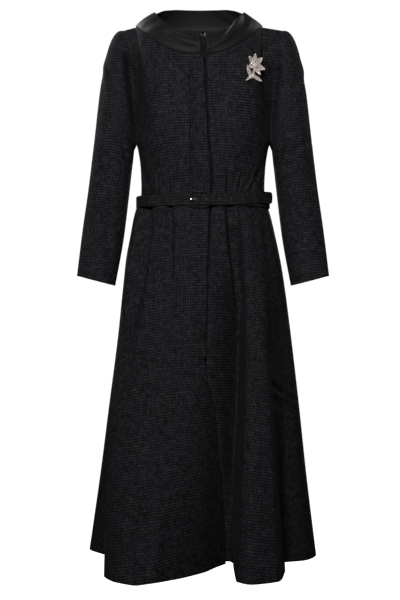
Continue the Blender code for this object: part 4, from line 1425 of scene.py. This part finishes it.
def build_bar_tack(right):
    """Close stitches across the placket's lower end."""
    line = right[np.argmin(np.abs(-right[:, -1, 2] - TACK_DROP)), ::-1]
    reach = np.linspace(TACK_INSET, PLACKET_WIDTH - TACK_INSET, TACK_STITCHES)
    out = np.tile([0.0, -1.0, 0.0], (TACK_STITCHES, 1))
    up = np.tile(UP, (TACK_STITCHES, 1))
    across = np.tile([1.0, 0.0, 0.0], (TACK_STITCHES, 1))
    centres = spread(line, reach / run(line)[-1]) + out * (STRIP + SEAM + TACK_WIDTH / 3)
    points, faces = octahedra(centres, up, across, out, (TACK_LENGTH, TACK_WIDTH, TACK_WIDTH))
    return piece("placket_bar_tack", points, faces, None, THREAD_SHADE)


# Brooch


def brooch_frame(left):
    """The brooch's frame on the left front: its origin, right, up and out."""
    wanted = np.array([BROOCH_X, -BROOCH_DROP])
    gap = np.linalg.norm(left[..., [0, 2]] - wanted, axis=2)
    row, column = np.unravel_index(np.argmin(gap), gap.shape)
    out = Vector(normals(left)[row, column]).normalized()
    up = (Vector((0.0, 0.0, 1.0)) - out * out.z).normalized()
    right = up.cross(out)
    origin = Vector(left[row, column]) + out * BROOCH_STANDOFF
    return origin, right * BROOCH_SCALE, up * BROOCH_SCALE, out


def petal_grid(petal, rows=14, columns=11):
    """A petal's top in the brooch's plane: across, up and out of it."""
    turn = math.radians(petal.turn)
    t = np.linspace(0.0, 1.0, rows)[:, None]
    s = np.linspace(-1.0, 1.0, columns)[None, :]
    half = PETAL_PLUMP * petal.width / 2 * np.sin(math.pi * np.clip(t, 0.02, 0.985) ** 0.85) ** 0.75
    reach = petal.length * (t - PETAL_INSET) + 0 * s
    side = half * s
    cup = PETAL_CUP * petal.width * np.abs(s) ** 1.5 * (0.3 + t)
    height = petal.lift * petal.length * t * t + cup + PETAL_BASE
    x = FLOWER_CENTRE[0] + petal.root_x + reach * math.cos(turn) - side * math.sin(turn)
    y = FLOWER_CENTRE[1] + petal.root_z + reach * math.sin(turn) + side * math.cos(turn)
    return np.stack([x, y, height + 0 * s], axis=-1)


def in_frame(points, origin, right, up, out):
    axes = np.array([right, up, out])
    return np.array(origin) + points @ axes


def build_flower(tops, pose):
    """Petals, stems and leaves: thin closed plates in one piece."""
    points, faces = [], []
    for top in tops:
        low = top - UP * PETAL_WALL
        rows, columns = top.shape[:2]
        count = rows * columns
        index = np.arange(count).reshape(rows, columns)
        rim = rim_of(index)
        turned = quads(index)[:, ::-1]
        sides = np.stack([rim[:-1], rim[1:], rim[1:] + count, rim[:-1] + count], axis=-1)
        start = sum(len(p) for p in points)
        faces += (np.concatenate([turned, turned[:, ::-1] + count, sides]) + start).tolist()
        points += [in_frame(top.reshape(-1, 3), *pose), in_frame(low.reshape(-1, 3), *pose)]
    brooch = piece("brooch_flower", np.concatenate(points), faces, None, GOLD_SHADE)
    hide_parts("brooch")


def build_stones(tops, pose):
    """Small stones set over the petals and leaves."""
    spots = np.concatenate([top[2:-1:2, 1:-1:2].reshape(-1, 3) for top in tops])
    ways = [np.tile(np.array(a), (len(spots), 1)) for a in pose[1:]]
    points, faces = octahedra(in_frame(spots, *pose), *ways, STONE_SIZE)
    piece("brooch_stones", points, faces, None, STONE_SHADE)


def build_brooch(left):
    pose = brooch_frame(left)
    tops = [petal_grid(petal) for petal in PETALS + LEAVES]
    build_flower(tops, pose)
    build_stones(tops, pose)
    build_heart(pose)


def build_heart(pose):
    """The flower's middle: a round rim with one larger stone in it."""
    centre = np.array([*FLOWER_CENTRE, HEART_HEIGHT])
    right, up, out = np.eye(3)
    local = ring_tube(centre, right, up, out, BROOCH_HEART * 0.72, BROOCH_HEART * 0.28)
    tube("brooch_heart", in_frame(local, *pose), None, GOLD_SHADE, closed=True)
    middle = in_frame(centre[None], *pose)
    ways = [np.array(a)[None] for a in pose[1:]]
    size = (BROOCH_HEART * 1.3, BROOCH_HEART * 1.3, BROOCH_HEART)
    points, faces = octahedra(middle, *ways, size)
    piece("brooch_heart_stone", points, faces, None, STONE_SHADE)


# Stage, light and camera

FLOOR_DROP = 1.42
STAGE_BEND = 7.0
STAGE_RADIUS = 2.0
STAGE_TOP = 9.0
STAGE_SIDES = 64
STAGE_GLOW = 1.0
STAGE_MIDDLE = 0.0002
CAMERA_PLACE = (-0.0069, -3.0, -0.614)
CAMERA_VIEW_HEIGHT = 1.38
SENSOR = 36.0
Lamp = namedtuple("Lamp", "name place aim width height spread power")
LAMPS = (
    Lamp("main", (-0.36, -3.28, 0.80), (0.0, 0.0, -0.25), 0.9, 0.7, 84.0, 20.4),
    Lamp("fill", (0.0, -3.5, -0.7), (0.0, 0.0, -0.70), 1.0, 1.0, 180.0, 0.3),
    Lamp("shoulder_left", (-1.4, 0.95, 1.20), (-0.15, 0.0, -0.05), 0.5, 0.5, 40.0, 2.10),
    Lamp("shoulder_right", (1.4, 0.95, 1.20), (0.15, 0.0, -0.05), 0.5, 0.5, 40.0, 0.80),
    Lamp("back_left", (-1.1, 3.10, 0.80), (0.0, 0.0, -0.45), 0.9, 0.7, 84.0, 10.0),
    Lamp("back_right", (1.1, 3.10, 0.80), (0.0, 0.0, -0.45), 0.9, 0.7, 84.0, 10.0),
)
WORLD_LIGHT = 0.012


def stage_shade():
    s = Shade("stage_pale", (0.86, 0.86, 0.86), 0.75)
    cloud = s.noise(s.object_place(), 1.4, 2.0)
    s.link(s.ramp(cloud, ((0.3, (0.84, 0.84, 0.84)), (0.7, (0.88, 0.88, 0.88)))), "Base Color")
    s.set("Emission Color", (1.0, 1.0, 1.0, 1.0))
    s.set("Emission Strength", STAGE_GLOW)
    return s.material


def build_stage():
    """A pale round floor that bends up into a wall; it glows but does not light the coat."""
    bend = np.linspace(0.0, math.pi / 2, 17)
    out = STAGE_BEND + STAGE_RADIUS * np.sin(bend)
    reach = np.concatenate([[STAGE_MIDDLE], out, [STAGE_BEND + STAGE_RADIUS]])
    zs = np.concatenate([[0.0], STAGE_RADIUS * (1 - np.cos(bend)), [STAGE_TOP]]) - FLOOR_DROP
    turns = np.linspace(0.0, 2 * math.pi, STAGE_SIDES + 1)
    xs = reach[:, None] * np.sin(turns)
    ys = reach[:, None] * np.cos(turns)
    points = np.stack(np.broadcast_arrays(xs, ys, zs[:, None]), axis=-1)
    mesh = bpy.data.meshes.new("stage")
    index = np.arange(points.shape[0] * points.shape[1]).reshape(points.shape[:2])
    mesh.from_pydata(points.reshape(-1, 3).tolist(), [], quads(index).tolist())
    mesh.polygons.foreach_set("use_smooth", [True] * len(mesh.polygons))
    mesh.materials.append(stage_shade())
    stage = add_object("stage", mesh)
    stage.visible_diffuse = False
    stage.visible_glossy = False


def build_lamps():
    for lamp in LAMPS:
        light = bpy.data.lights.new(lamp.name, "AREA")
        light.shape = "RECTANGLE"
        light.size = lamp.width
        light.size_y = lamp.height
        light.spread = math.radians(lamp.spread)
        light.energy = lamp.power
        obj = add_object(lamp.name, light)
        obj.location = lamp.place
        obj.visible_camera = False
        aim = Vector(lamp.aim) - Vector(lamp.place)
        obj.rotation_euler = aim.to_track_quat("-Z", "Y").to_euler()


def build_world():
    """Faint even light from all round."""
    world = bpy.data.worlds.new("studio")
    world.use_nodes = True
    background = world.node_tree.nodes["Background"].inputs
    background["Color"].default_value = (1.0, 1.0, 1.0, 1.0)
    background["Strength"].default_value = WORLD_LIGHT
    bpy.context.scene.world = world


def build_camera():
    data = bpy.data.cameras.new("camera")
    data.sensor_width = SENSOR
    data.lens = SENSOR * -CAMERA_PLACE[1] / CAMERA_VIEW_HEIGHT
    camera = add_object("camera", data)
    camera.location = CAMERA_PLACE
    camera.rotation_euler = (math.pi / 2, 0.0, 0.0)
    bpy.context.scene.camera = camera
    bpy.context.scene.view_settings.view_transform = "Standard"


# Cut of each cloth piece as it shows: flat width, length and area, how it is held and by what
Cut = namedtuple("Cut", "width length area held rests_on")


build_stage()
build_lamps()
build_world()
build_camera()

right_grid = right_front_grid()
left_grid = left_front_grid()
back = back_grid()
waist_line = BeltLine()

right_front = panel("front_right", right_grid, -1)
left_front = panel("front_left", left_grid, 0)
back_panel = panel("back", back, back.shape[1] // 2)
sleeve_right = sleeve("sleeve_right", -1)
sleeve_left = sleeve("sleeve_left", 1)
collar = build_collar()
placket = build_placket(right_grid)
belt = build_belt(waist_line)
stitches = build_belt_stitches(waist_line)
eyelets = build_eyelets(waist_line)
build_buckle(waist_line)
build_prong(waist_line)
hook = build_hook()
bar_tack = build_bar_tack(right_grid)
build_brooch(left_grid)
